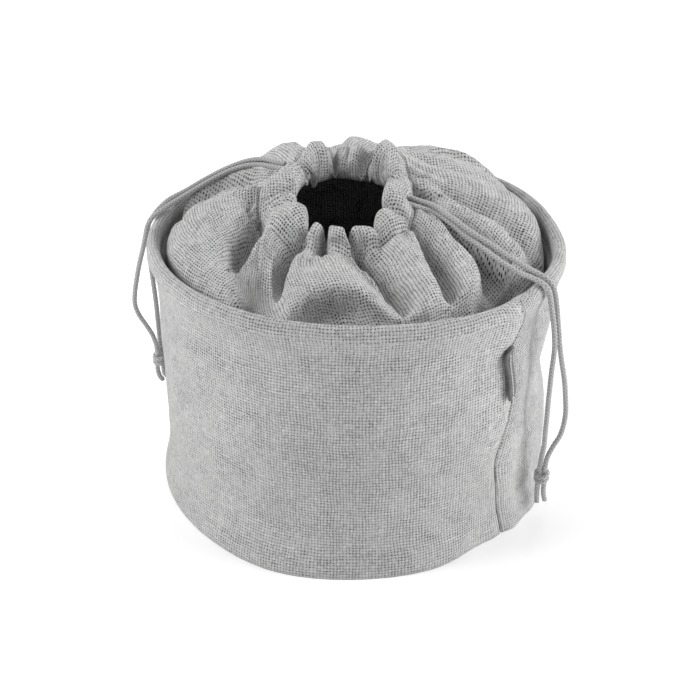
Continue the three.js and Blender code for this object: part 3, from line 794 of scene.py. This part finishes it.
class Wire:
    """A socket of a node tree. Arithmetic on it adds Math nodes."""

    def __init__(self, graph, socket):
        self.graph = graph
        self.socket = socket

    def math(self, operation, *others):
        made = self.graph.node("ShaderNodeMath", {"operation": operation}, dict(enumerate((self, *others))))
        return Wire(self.graph, made.outputs[0])

    def __add__(self, other):
        return self.math("ADD", other)

    __radd__ = __add__

    def __mul__(self, other):
        return self.math("MULTIPLY", other)

    __rmul__ = __mul__

    def __sub__(self, other):
        return self.math("SUBTRACT", other)

    def __rsub__(self, other):
        return self * -1 + other

    def __truediv__(self, other):
        return self.math("DIVIDE", other)

    def __pow__(self, other):
        return self.math("POWER", other)

    def clamped(self):
        return self.math("MAXIMUM", 0.0).math("MINIMUM", 1.0)


class Graph:
    """The node tree of one material."""

    def __init__(self, name):
        self.material = bpy.data.materials.new(name)
        self.material.use_nodes = True
        self.tree = self.material.node_tree
        self.tree.nodes.clear()

    def node(self, kind, settings, inputs):
        """A node of a type: its settings come first, then its sockets' values or links."""
        made = self.tree.nodes.new(kind)
        for name, value in settings.items():
            setattr(made, name, value)
        for name, value in inputs.items():
            if isinstance(value, Wire):
                self.tree.links.new(value.socket, made.inputs[name])
            else:
                made.inputs[name].default_value = value
        return made

    def uv(self):
        made = self.node("ShaderNodeUVMap", {"uv_map": "UVMap"}, {})
        return Wire(self, made.outputs["UV"])

    def parts(self, vector):
        made = self.node("ShaderNodeSeparateXYZ", {}, {"Vector": vector})
        return Wire(self, made.outputs["X"]), Wire(self, made.outputs["Y"])

    def pair(self, x, y):
        made = self.node("ShaderNodeCombineXYZ", {}, {"X": x, "Y": y})
        return Wire(self, made.outputs["Vector"])

    def noise(self, vector, scale, detail=2.0):
        settings = {"noise_dimensions": "2D"}
        made = self.node("ShaderNodeTexNoise", settings, {"Vector": vector, "Scale": scale, "Detail": detail})
        return Wire(self, made.outputs[0])

    def tint(self, colour, tone_and_painted_shade):
        """The colour made darker or lighter by a varying grey."""
        grey = self.node("ShaderNodeCombineColor", {}, {"Red": tone_and_painted_shade, "Green": tone_and_painted_shade, "Blue": tone_and_painted_shade})
        settings = {"data_type": "RGBA", "blend_type": "MULTIPLY"}
        inputs = {0: 1.0, 6: (*colour, 1.0), 7: Wire(self, grey.outputs[0])}
        made = self.node("ShaderNodeMix", settings, inputs)
        return Wire(self, made.outputs[2])

    def finish(self, colour, roughness, height, depth, sheen=0.0, specular=0.3, glow=0.0):
        """The shader, with a relief whose full height stands for a depth in metres."""
        relief = self.node("ShaderNodeBump", {}, {"Strength": 1.0, "Distance": depth, "Height": height})
        inputs = {
            "Base Color": colour,
            "Roughness": roughness,
            "Normal": Wire(self, relief.outputs[0]),
            "Sheen Weight": sheen,
            "Specular IOR Level": specular,
            "Emission Strength": glow,
        }
        shader = self.node("ShaderNodeBsdfPrincipled", {}, inputs)
        self.node("ShaderNodeOutputMaterial", {}, {"Surface": Wire(self, shader.outputs[0])})
        return self.material


def jute(name, colour, across, up, cover, painted_gap_shade_level):
    """Plain-woven jute: uneven threads over and under each other, with gaps between them.

    across and up are the spacings of its threads, cover is how much of its place a thread fills,
    and the last value sets how dark the gaps between the threads are painted as shade.
    """
    g = Graph(name)
    uv = g.uv()
    u, v = g.parts(uv)
    other = g.pair(v, u)

    # Threads wander slowly by about their own width, and quickly by a third of it
    wander, jitter = 1.1, 0.35
    x = u / across + (g.noise(uv, 55.0) - 0.5) * wander + (g.noise(uv, 230.0) - 0.5) * jitter
    y = v / up + (g.noise(other, 48.0) - 0.5) * wander + (g.noise(other, 250.0) - 0.5) * jitter
    column, row = x.math("FLOOR"), y.math("FLOOR")

    # Thick and thin places along each thread, and patches of looser cloth
    slub_x = g.noise(g.pair(column * 3.7, y * 1.1), 1.0)
    slub_y = g.noise(g.pair(row * 4.3, x * 1.1), 1.0)
    loose = g.noise(uv, 75.0) - 0.5

    def thread(place, other, line, slub, flip):
        """Round height of the threads of one direction."""
        offset = place.math("FRACT") * 2 - 1
        width = slub * 1.15 + (cover - 0.575) - loose * 0.35
        bulge = 1 - (offset / width) ** 2
        over = (line * math.pi).math("COSINE") * (other * math.pi).math("SINE")
        return bulge.math("MAXIMUM", 0.0).math("SQRT") * (over * flip * 0.3 + 0.7)

    height = thread(x, y, column, slub_x, 1.0).math("MAXIMUM", thread(y, x, row, slub_y, -1.0))

    # Painted shade in the gaps and where a thread dips under the other, then the uneven tone of crossings,
    # whole threads, fibres and patches
    crossing = g.noise(g.pair(column * 1.9 + 0.5, row * 2.3), 1.0)
    yarn = g.noise(g.pair(column * 5.1, y * 0.07), 1.0) + g.noise(g.pair(row * 5.7, x * 0.07), 1.0)
    fibre = g.noise(uv, 1500.0, 3.0)
    patch = g.noise(uv, 21.0, 3.0)
    tone_and_painted_shade = (height * 2.1).clamped() ** 0.8 * (1 - painted_gap_shade_level) + painted_gap_shade_level
    tone_and_painted_shade = tone_and_painted_shade * (height * 0.24 + 0.82) * (crossing * 0.6 + 0.7) * (yarn * 0.16 + 0.84)
    tone_and_painted_shade = tone_and_painted_shade * (fibre * 0.6 + 0.7) * (patch * 0.16 + 0.92)
    rough = 0.98 - height * 0.1
    return g.finish(g.tint(colour, tone_and_painted_shade), rough, height + fibre * 0.15, 0.0003, 0.15, 0.15)


def braid(name, colour):
    """Braided cotton cord: strands that cross each other in two slanting ways."""
    g = Graph(name)
    u, v = g.parts(g.uv())
    lean = v * (2 * math.pi / (BRAID_PITCH * MM))
    around = u * (2 * math.pi * BRAID_STRANDS)
    one, two = (around + lean).math("COSINE"), (around - lean).math("COSINE")
    height = one.math("MAXIMUM", two) * 0.5 + 0.5
    fibre = g.noise(g.pair(u * 0.01, v), 3500.0)
    # The grooves between the strands are painted darker as shade, with the fibres' uneven tone
    tone_and_painted_shade = (height**0.7 * 0.55 + 0.45) * (fibre * 0.3 + 0.85)
    return g.finish(g.tint(colour, tone_and_painted_shade), 0.85 - height * 0.1, height + fibre * 0.1, 0.00025, 0.2, 0.2)


def ribbon(name, colour):
    """Tightly woven ribbon with fine ribs."""
    g = Graph(name)
    uv = g.uv()
    u, v = g.parts(uv)
    rib_pitch = 0.0007
    rib = (v * (2 * math.pi / rib_pitch)).math("SINE") * 0.5 + 0.5
    worn = g.noise(uv, 260.0, 4.0)
    # The hollows between the ribs are painted darker as shade, with worn patches of uneven tone
    tone_and_painted_shade = (rib * 0.35 + 0.65) * (worn * 0.9 + 0.55)
    return g.finish(g.tint(colour, tone_and_painted_shade), 0.62 - rib * 0.1, rib, 0.00012, 0.1, 0.4)


def thread_material(name, colour):
    """Sewing thread, twisted from two yarns."""
    g = Graph(name)
    u, v = g.parts(g.uv())
    yarns, twist_pitch = 2, 0.0006
    twist = (u * (2 * math.pi * yarns) + v * (2 * math.pi / twist_pitch)).math("SINE") * 0.5 + 0.5
    # The grooves of the twist are painted darker as shade
    return g.finish(g.tint(colour, twist * 0.4 + 0.6), 0.75 - twist * 0.1, twist, 0.0001, 0.1, 0.3)


def floor_material(name, colour):
    """Pale matt floor, with a little light of its own."""
    g = Graph(name)
    patch = g.noise(g.uv(), 3.0)
    colour = g.tint(colour, patch * 0.02 + 0.99)
    return g.finish(colour, patch * 0.05 + 0.6, patch, 0.0001, specular=0.2, glow=0.15)


def once(name, make, colour, *values):
    """The material of that name, made where it isn't there yet."""
    return bpy.data.materials.get(name) or make(name, tuple(colour), *values)


def wall_jute(scene):
    weave = scene.bag_weave
    # The wall's gaps between threads are painted dark as shade
    cover, painted_gap_shade_level = 0.7, 0.16
    return once("wall_jute", jute, scene.bag_colours.wall, weave.wall_across, weave.wall_up, cover, painted_gap_shade_level)


def hood_jute(scene):
    weave = scene.bag_weave
    # The hood's gaps between threads are painted nearly black as shade
    cover, painted_gap_shade_level = 0.66, 0.02
    return once("hood_jute", jute, scene.bag_colours.hood, weave.hood_across, weave.hood_up, cover, painted_gap_shade_level)


# Cords and knots


def braid_relief(turns, along):
    """How far the braid stands over and under the cord's radius."""
    lean = along * 2 * math.pi / BRAID_PITCH
    crossing = np.maximum(np.cos(BRAID_STRANDS * turns + lean), np.cos(BRAID_STRANDS * turns - lean))
    return BRAID_DEPTH * (crossing - 0.6)


def cord_line(name):
    """The cord's centreline in millimetres, from a little inside its slit."""
    route = np.array(CORD_ROUTES[name]) / MM
    inside = route[0] + (route[0] - route[1]) * 0.5
    return spline(np.vstack([inside, route]), CORD_POINTS)


def build_cord(name, scene):
    """One braided strand of the drawcord, and its centreline."""
    line = cord_line(name)
    parts = tube(line, scene.bag_sizes.cord_diameter / MM / 2, CORD_SIDES, braid_relief)
    piece = add_tubes(name + "_braid", [parts], once("braided_cord", braid, scene.bag_colours.cord))
    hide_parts(name)
    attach(piece, "root")
    return piece, line


def knot_run(centre, strand, side, drift, splay):
    """One strand's way down through the knot and out into its tail, from points round the knot's centre."""
    over, top = np.array(CORD_ROUTES[strand][-2:]) / MM
    begin = top - (top - over) / np.linalg.norm(top - over) * 1.5
    inside = (
        (side * 1.2, 0, 3.5),
        (side * 1.0, -0.5, 0.5),
        (side * 1.5, 0, -2.5),
        (side * 1.9, 0, -4.2),
        (side * 1.9, 0, -9.5),
        (side * (1.8 + 0.5 * splay) + 0.4 * drift[0], 0.5 * side + 0.4 * drift[1], -14.5),
        (side * (1.8 + splay) + drift[0], side + drift[1], -18.6),
    )
    return spline([begin, top, *(centre + inside)], 150)


def knot_wrap(centre, side):
    """One strand's turn round the knot, a little more than once and slanting."""
    share = np.linspace(0, 1, 15)
    angle = math.pi * (0.1 + 2.25 * share) + math.pi * (0 if side > 0 else 0.05)
    height = 1.5 - side * 1.55 - 1.2 * share + 1.43 * np.sin(angle + 0.6)
    wrap = np.stack([3.1 * np.cos(angle), 3.0 * np.sin(angle), height], axis=1)
    return spline(centre + wrap, 110)


def build_knot(name, scene):
    """Two strands through a double wrap of themselves, with two short tails."""
    place, strands, drift, splay = KNOTS[name]
    centre = np.array(place) / MM
    radius = scene.bag_sizes.cord_diameter / MM / 2
    tubes = []
    for strand, side in zip(strands, (-1, 1)):
        tubes.append(tube(knot_run(centre, strand, side, drift, splay), radius, KNOT_SIDES, braid_relief))
        tubes.append(tube(knot_wrap(centre, side), radius * 1.02, KNOT_SIDES, braid_relief))
    piece = add_tubes(name + "_tied", tubes, once("braided_cord", braid, scene.bag_colours.cord))
    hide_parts(name)
    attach(piece, "root")
    return piece, strands


# Wall, with its rim, cuff and seam


def wall_columns():
    """Azimuths of the wall's columns, closer together beside the seam and the crease."""
    around = np.linspace(SEAM_AZIMUTH - 180, SEAM_AZIMUTH + 180, 20001)
    close = 1 + sum(much * bump(turn(around, at), wide) for at, much, wide in COLUMN_CROWDS)
    share = running((close[1:] + close[:-1]) / 2)
    return np.interp(np.linspace(0, share[-1], WALL_COLUMNS, endpoint=False), share, around)


def seam_relief(azimuth, height):
    """The sewn seam: the front panel's edge stands a little over a narrow groove."""
    away = turn(seam_azimuth(height), azimuth)
    step = 0.55 * np.where(away < 0, np.exp(away / 3.5), 0)
    groove = 1.5 * bump(away - 0.12, 0.32)
    return step - groove


def wall_rows(shape, base):
    """The wall's closed section: up its face, over the rim, down and up the cuff, and down inside.

    The second result is how many of the rows are its face.
    """
    cloth, stack = shape.wall_cloth, shape.cuff_stack
    turn_in, turn_height = CUFF_TURN

    def columns(height):
        """The columns beside the seam wander with it."""
        return base + turn(SEAM_AZIMUTH, seam_azimuth(height)) * bump(turn(base, SEAM_AZIMUTH), 7)

    def upright(inset, height, crisp=0):
        azimuth = columns(height)
        radius = shape.wall_radius(azimuth, height) - inset + crisp * seam_relief(azimuth, height)
        return polar(azimuth, radius, shape.dipped(azimuth, height))

    def roll(inset, down):
        azimuth = columns(shape.top - down)
        relief = 0.8 * smooth(1 - inset / shape.roll) * seam_relief(azimuth, shape.top)
        radius = shape.wall_radius(azimuth, RIM_FLARE[1]) - inset + relief
        return polar(azimuth, radius, shape.rim_top(azimuth) - down)

    cuff_inside = [(turn_in, turn_height), *((stack, height) for height in (*CUFF_STRAIGHT, shape.cuff_end))]
    cuff_behind = [(stack, shape.cuff_end), (stack, CUFF_STRAIGHT[0]), (turn_in, turn_height)]
    face = [upright(0, height, 1) for height in np.arange(0, FACE_TOP, FACE_STEP)]
    rows = list(face)
    rows.extend(roll(inset * shape.roll / RIM_SECTION_WIDTH, down) for inset, down in spline(RIM_SECTION, 18))
    rows.extend(upright(inset, height) for inset, height in spline(cuff_inside, 12))
    rows.extend(upright(inset - cloth, height) for inset, height in spline(cuff_behind, 8))
    rows.append(roll(shape.roll / 2, 1 + cloth))
    rows.extend(upright(cloth, height) for height in np.linspace(INSIDE_TOP, 0, 20))
    return np.array(rows), len(face)


def seam_groove_shade_stitches(shape):
    """The dark thread in the seam's groove, dark both as thread and as painted shade of the groove."""
    first, last, spacing, length, thread = SEAM_STITCHES
    stitches = []
    for start in np.arange(first, last, spacing):
        height = start + np.linspace(0, length, 4)
        azimuth = seam_azimuth(height) + SEAM_STITCH_SIDE
        radius = shape.wall_radius(azimuth, height) - SEAM_STITCH_DEPTH
        stitches.append(tube(polar(azimuth, radius, shape.dipped(azimuth, height)), thread, THREAD_SIDES))
    return stitches


def build_wall(scene):
    """The outer wall with its rolled rim and cuff: one closed sheet, and the dark thread in its seam, which
    also paints the groove's shade.
    """
    shape = BagShape(scene.bag_sizes)
    base = wall_columns()
    points, faced = wall_rows(shape, base)
    face = points[:faced]
    normal = face * (1, 1, 0)
    normal /= np.linalg.norm(normal, axis=-1)[..., None]
    fade = smooth(face[..., 2] / 12) * smooth((158 - face[..., 2]) / 20)
    face += normal * (rumples(face, WALL_RUMPLES) * fade)[..., None]
    around = base * DEGREE * shape.body
    after = np.append(around[1:], around[0] + 2 * math.pi * shape.body)
    piece = ring_sheet("wall_cloth_sheet", points, around, after, along_rows(points), wall_jute(scene))
    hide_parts("outer_wall")
    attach(piece, "root")
    # The seam's thread takes the ribbon's dark colour, as thread and as painted shade of the seam's groove
    dark = once("seam_thread_and_groove_shade", thread_material, scene.bag_colours.ribbon)
    sewn = add_tubes("wall_seam_groove_shade_stitches", seam_groove_shade_stitches(shape), dark)
    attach(sewn, "root")


# Hood, with its casing and hem


def hood_rows(shape, phase):
    """The hood's closed section: up its stand, over dome and casing to the hem, and back inside."""
    near, far = fold_angle(phase, 0), fold_angle(phase, 1)
    cloth = shape.hood_cloth

    def stand(height, inset):
        return polar(far, shape.stand_radius(far, height) - inset, shape.dipped(far, height))

    out = np.linspace(1, 0, DOME_ROWS)[:, None] ** 1.15
    spots = np.stack(np.broadcast_arrays(near * 2.2, out * 30, 0 * out * near), axis=-1)
    relief = rumple(spots, 16, 11) * 0.75 * bump(out - 0.12, 0.2) * smooth(out / 0.05)
    rows = [stand(height, 0) for height in STAND_HEIGHTS]
    rows.extend(shape.dome(phase, out, 0, relief))
    rows[STITCHED_ROW] = ring_point(near)
    rows.extend(casing_point(near, row) for row in spline(CASING_OUTLINE, CASING_ROWS))
    rows.extend(shape.dome(phase, share, cloth) for share in np.linspace(0.04, 1, LINING_ROWS))
    rows.extend(stand(height, cloth) for height in reversed(STAND_HEIGHTS))
    return np.array(rows)


def rest_under_cords(points, layer, radius):
    """How far the cloth rises or gives way to lie just under the cords."""
    lift = np.zeros(points.shape[:-1])
    for name in CORD_ROUTES:
        nearest = np.full(points.shape[:-1], 1e9)
        height = np.zeros(points.shape[:-1])
        for place in cord_line(name)[OVER_HOOD]:
            away = np.hypot(points[..., 0] - place[0], points[..., 1] - place[1])
            closer = away < nearest
            nearest = np.where(closer, away, nearest)
            height = np.where(closer, place[2], height)
        gap = height - radius - 0.15 - layer - points[..., 2]
        up = np.clip(gap, 0, 8) * bump(nearest, 7)
        down = np.minimum(gap + 0.5 * np.maximum(nearest - radius, 0), 0) * (nearest < 14)
        change = np.where(gap > 0, up, down)
        lift = np.where(np.abs(change) > np.abs(lift), change, lift)
    return lift


def shape_hood(shape, phase, cord_radius):
    """The hood's points, and the same with shallower creases, which its weave is laid out on."""
    points = hood_rows(shape, phase)
    row = np.arange(len(points))[:, None]
    outer = row < HEM_ROW
    casing = outer & (row >= STITCHED_ROW)
    height = points[..., 2]
    uneven = slice(6, HEM_ROW - 8)
    height[uneven] += rumples(points[uneven], HOOD_RUMPLES)
    tuck = crease_depth(points, HOOD_TUCKS) * smooth((height - CREASE_START) / CREASE_FADE)
    inwards = TUCK_INWARDS * tuck / np.hypot(points[..., 0], points[..., 1])
    points[..., :2] *= (1 - inwards)[..., None]
    height -= TUCK_DOWN * tuck
    hem = outer * smooth((row - STITCHED_ROW - 17) / 6)
    crease = crease_depth(points, HOOD_CREASES) * smooth((height - CREASE_START) / CREASE_FADE) * (1 - hem)
    shallow = points.copy()
    shallow[..., 2] -= CREASE_IN_WEAVE * crease
    height -= crease
    lift = rest_under_cords(points, np.where(outer, 0, shape.hood_cloth), cord_radius)
    height += lift * ~casing * smooth((height - 152) / 6)
    along = along_rows(points)[:-1]
    height -= RING_GROOVE_DEPTH * bump(along - along[STITCHED_ROW], RING_GROOVE_WIDTH) * outer
    return points, shallow


def gore_uvs(points, valleys):
    """U on both sides of each column: true to size from each ridge, with the slack lost in the valleys.

    The ridges lie halfway between the valleys.
    """
    around = running(steps(np.concatenate([points, points[:, :1]], axis=1), axis=1), axis=1)
    widest = around[np.argmax(around[:, -1])]
    left, right = np.empty(points.shape[:2]), np.empty(points.shape[:2])
    for start, end in zip(valleys, [*valleys[1:], points.shape[1]]):
        ridge = (start + end) // 2
        shift = widest[ridge] - around[:, ridge : ridge + 1]
        left[:, start:end] = around[:, start:end] + shift
        right[:, start:end] = around[:, start + 1 : end + 1] + shift
    return left, right


def hood_uvs(points, phase, valleys):
    """U on both sides of each column, by the folds and in the casing by the puckers, and V down the rows.

    From its foot to the stitched ring, the cloth counts as equally long in every column.
    """
    casing = slice(STITCHED_ROW, HEM_ROW)
    near = fold_angle(phase, 0)
    puckers = {int(np.argmin(np.abs(turn(near, angle)))) for angle, _, puff in CASING_PUCKERS if puff < 0}
    left, right = gore_uvs(points, valleys)
    left[casing], right[casing] = gore_uvs(points[casing], sorted(puckers | {0}))
    length = along_rows(points)
    to_ring = length[STITCHED_ROW]
    reach = to_ring.mean()
    v = np.where(length < to_ring, length * (reach / to_ring), length - to_ring + reach)
    return np.vstack([left, left[:1]]), np.vstack([right, right[:1]]), v


def build_hood(scene):
    """The gathered hood, with its casing and hem: one closed sheet."""
    column_width = 0.72
    phase, valleys = fold_columns(column_width)
    points, shallow = shape_hood(BagShape(scene.bag_sizes), phase, scene.bag_sizes.cord_diameter / MM / 2)
    piece = ring_sheet("hood_cloth_gathered", points, *hood_uvs(shallow, phase, valleys), hood_jute(scene))
    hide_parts("hood")
    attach(piece, "root")


# Base panel and label


def build_base(scene):
    """The base panel: a woven disc sewn in at the foot."""
    shape = BagShape(scene.bag_sizes)
    azimuth = np.linspace(-180, 180, 240, endpoint=False)
    radius = shape.wall_radius(azimuth, 6.0) - shape.wall_cloth - shape.seam_gap
    shares = np.linspace(0.04, 0.97, 24)
    rings = [polar(azimuth, radius * share, 0.0) for share in shares]
    rings.extend(polar(azimuth, radius - inset, height) for inset, height in BASE_EDGE)
    rings.extend(polar(azimuth, radius * share, BASE_THICKNESS) for share in reversed(shares))
    rows, columns = len(rings), len(azimuth)
    points = np.vstack([*rings, (0, 0, 0), (0, 0, BASE_THICKNESS)])
    below, above = rows * columns, rows * columns + 1
    faces = grid_faces(rows, columns, rows - 1)
    faces += fan(0, columns, below, True) + fan((rows - 1) * columns, columns, above, False)
    uvs = at_corners(points[:, :2], faces) * MM
    piece = add_mesh("base_disc", points, faces, uvs, wall_jute(scene))
    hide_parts("base_panel")
    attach(piece, "root")


def band(centre, thickness):
    """Closed outline of a strip round its centreline."""
    ways = np.gradient(centre, axis=0)
    ways /= np.linalg.norm(ways, axis=1)[:, None]
    offset = np.stack([-ways[:, 1], ways[:, 0]], axis=1) * thickness / 2
    return np.vstack([centre + offset, (centre - offset)[::-1]])


def label_stitches(shape):
    """Pale stitches up the label beside the seam, each a little arched."""
    heights, roots, _ = zip(*LABEL_ROWS)
    first, last, spacing, length, thread = LABEL_STITCHES
    share = np.linspace(0, 1, 5)
    lift = LABEL_STITCH_LIFT + LABEL_STITCH_ARCH * np.sin(math.pi * share)
    stitches = []
    for start in np.arange(first, last, spacing):
        height = start + length * share
        azimuth = np.interp(height, heights, roots) + LABEL_STITCH_SIDE
        radius = shape.wall_radius(azimuth, height) + lift
        stitches.append(tube(polar(azimuth, radius, height), thread, THREAD_SIDES))
    return stitches


def build_label(scene):
    """The folded ribbon in the side seam, and the pale stitches that hold it."""
    shape = BagShape(scene.bag_sizes)
    outline = band(spline(LABEL_SECTION, 40), LABEL_CLOTH)
    sections = []
    for height, root, tip in spline(LABEL_ROWS, 40):
        azimuth = mix(root, tip, outline[:, 0] / LABEL_WIDTH)
        sections.append(polar(azimuth, shape.wall_radius(azimuth, height) + outline[:, 1], height))
    rows, columns = len(sections), len(outline)
    faces = grid_faces(rows, columns, rows - 1)
    faces.append(list(range(columns))[::-1])
    faces.append(list(range((rows - 1) * columns, rows * columns)))
    along, across = np.divmod(np.arange(rows * columns), columns)
    uvs = np.stack([across * LABEL_ROUND / columns, along * LABEL_HEIGHT / rows], axis=1) * MM
    material = once("woven_ribbon", ribbon, scene.bag_colours.ribbon)
    piece = add_mesh("label_ribbon", np.vstack(sections), faces, at_corners(uvs, faces), material)
    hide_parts("label")
    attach(piece, "root")
    pale = once("sewing_thread", thread_material, scene.bag_colours.stitch)
    sewn = add_tubes("label_stitches", label_stitches(shape), pale)
    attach(sewn, "root")


# Camera and studio


def facing(way):
    """Rotation of a camera or light that looks along a way."""
    return way.to_track_quat("-Z", "Y").to_euler()


def build_camera(scene):
    """The camera looks down on the bag from the front."""
    elevation = CAMERA_ELEVATION * DEGREE
    back = Vector((0, -math.cos(elevation), math.sin(elevation)))
    data = bpy.data.cameras.new("bag_camera")
    data.sensor_width = SENSOR_WIDTH
    data.lens = SENSOR_WIDTH * FOCAL_PIXELS / IMAGE_WIDTH
    data.clip_start = 0.01
    camera = bpy.data.objects.new("bag_camera", data)
    camera.location = Vector(CAMERA_TARGET) + back * CAMERA_DISTANCE
    camera.rotation_euler = facing(-back)
    scene.collection.objects.link(camera)
    scene.camera = camera


def build_stage(scene):
    """A pale floor, a white surround and broad soft lights."""
    corners = [(-1, -1), (1, -1), (1, 1), (-1, 1)]
    points = [(x * FLOOR_HALF, y * FLOOR_HALF, 0) for x, y in corners]
    uvs = [((x + 1) / 2, (y + 1) / 2) for x, y in corners]
    material = once("studio_floor", floor_material, scene.bag_colours.floor)
    floor = add_mesh("studio_floor", points, [(0, 1, 2, 3)], uvs, material)
    world = bpy.data.worlds.new("studio_air")
    world.use_nodes = True
    background = world.node_tree.nodes["Background"]
    background.inputs["Color"].default_value = (1, 1, 1, 1)
    background.inputs["Strength"].default_value = SURROUND_STRENGTH
    scene.world = world
    for name, place, width, power in LIGHTS:
        data = bpy.data.lights.new(name, "AREA")
        data.size = width
        data.energy = power
        lamp = bpy.data.objects.new(name, data)
        lamp.location = place
        lamp.rotation_euler = facing(LIGHTS_AIM - Vector(place))
        scene.collection.objects.link(lamp)
    scene.view_settings.view_transform = "Standard"
    scene.view_settings.look = "None"


# Operators


class BAG_OT_camera(Operator):
    """Add the camera in front of the bag, looking down on it"""

    bl_idname = "bag.camera"
    bl_label = "Camera"

    def execute(self, context):
        build_camera(context.scene)
        return {"FINISHED"}


class BAG_OT_cords(Operator):
    """Add the four strands of the drawcord and their two knots"""

    bl_idname = "bag.cords"
    bl_label = "Drawcords and Knots"

    def execute(self, context):
        scene = context.scene
        for name in KNOTS:
            knot, strands = build_knot(name, scene)
        for name in CORD_ROUTES:
            piece, line = build_cord(name, scene)
        return {"FINISHED"}


class BAG_OT_wall(Operator):
    """Add the outer wall with its rolled rim, cuff and side seam"""

    bl_idname = "bag.wall"
    bl_label = "Outer Wall"

    def execute(self, context):
        build_wall(context.scene)
        return {"FINISHED"}


class BAG_OT_hood(Operator):
    """Add the gathered hood with the puckered casing round its mouth"""

    bl_idname = "bag.hood"
    bl_label = "Gathered Hood"

    def execute(self, context):
        build_hood(context.scene)
        return {"FINISHED"}


class BAG_OT_base(Operator):
    """Add the base panel"""

    bl_idname = "bag.base"
    bl_label = "Base Panel"

    def execute(self, context):
        build_base(context.scene)
        return {"FINISHED"}


class BAG_OT_label(Operator):
    """Add the folded ribbon in the side seam with its stitches"""

    bl_idname = "bag.label"
    bl_label = "Ribbon Label"

    def execute(self, context):
        build_label(context.scene)
        return {"FINISHED"}


class BAG_OT_stage(Operator):
    """Add the floor, the surround and the lights"""

    bl_idname = "bag.stage"
    bl_label = "Studio"

    def execute(self, context):
        build_stage(context.scene)
        return {"FINISHED"}


OPERATORS = (BAG_OT_camera, BAG_OT_cords, BAG_OT_wall, BAG_OT_hood, BAG_OT_base, BAG_OT_label, BAG_OT_stage)


class BAG_PT_panel(Panel):
    """Sizes, weave, colours and pieces of the bag"""

    bl_label = "Drawstring Bag"
    bl_idname = "BAG_PT_panel"
    bl_space_type = "VIEW_3D"
    bl_region_type = "UI"
    bl_category = "Bag"

    def draw(self, context):
        layout = self.layout
        for group in (context.scene.bag_sizes, context.scene.bag_weave, context.scene.bag_colours):
            box = layout.box()
            for name in group.__annotations__:
                box.prop(group, name)
        for operator in OPERATORS:
            layout.operator(operator.bl_idname)


CLASSES = (BagSizes, BagWeave, BagColours, *OPERATORS, BAG_PT_panel)


def register():
    for cls in CLASSES:
        bpy.utils.register_class(cls)
    bpy.types.Scene.bag_sizes = PointerProperty(type=BagSizes)
    bpy.types.Scene.bag_weave = PointerProperty(type=BagWeave)
    bpy.types.Scene.bag_colours = PointerProperty(type=BagColours)


def unregister():
    del bpy.types.Scene.bag_colours
    del bpy.types.Scene.bag_weave
    del bpy.types.Scene.bag_sizes
    for cls in reversed(CLASSES):
        bpy.utils.unregister_class(cls)


def main():
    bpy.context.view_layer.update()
    register()
    bpy.ops.bag.camera()
    bpy.ops.bag.cords()
    bpy.ops.bag.wall()
    bpy.ops.bag.hood()
    bpy.ops.bag.base()
    bpy.ops.bag.label()
    bpy.ops.bag.stage()


if __name__ == "__main__":
    main()
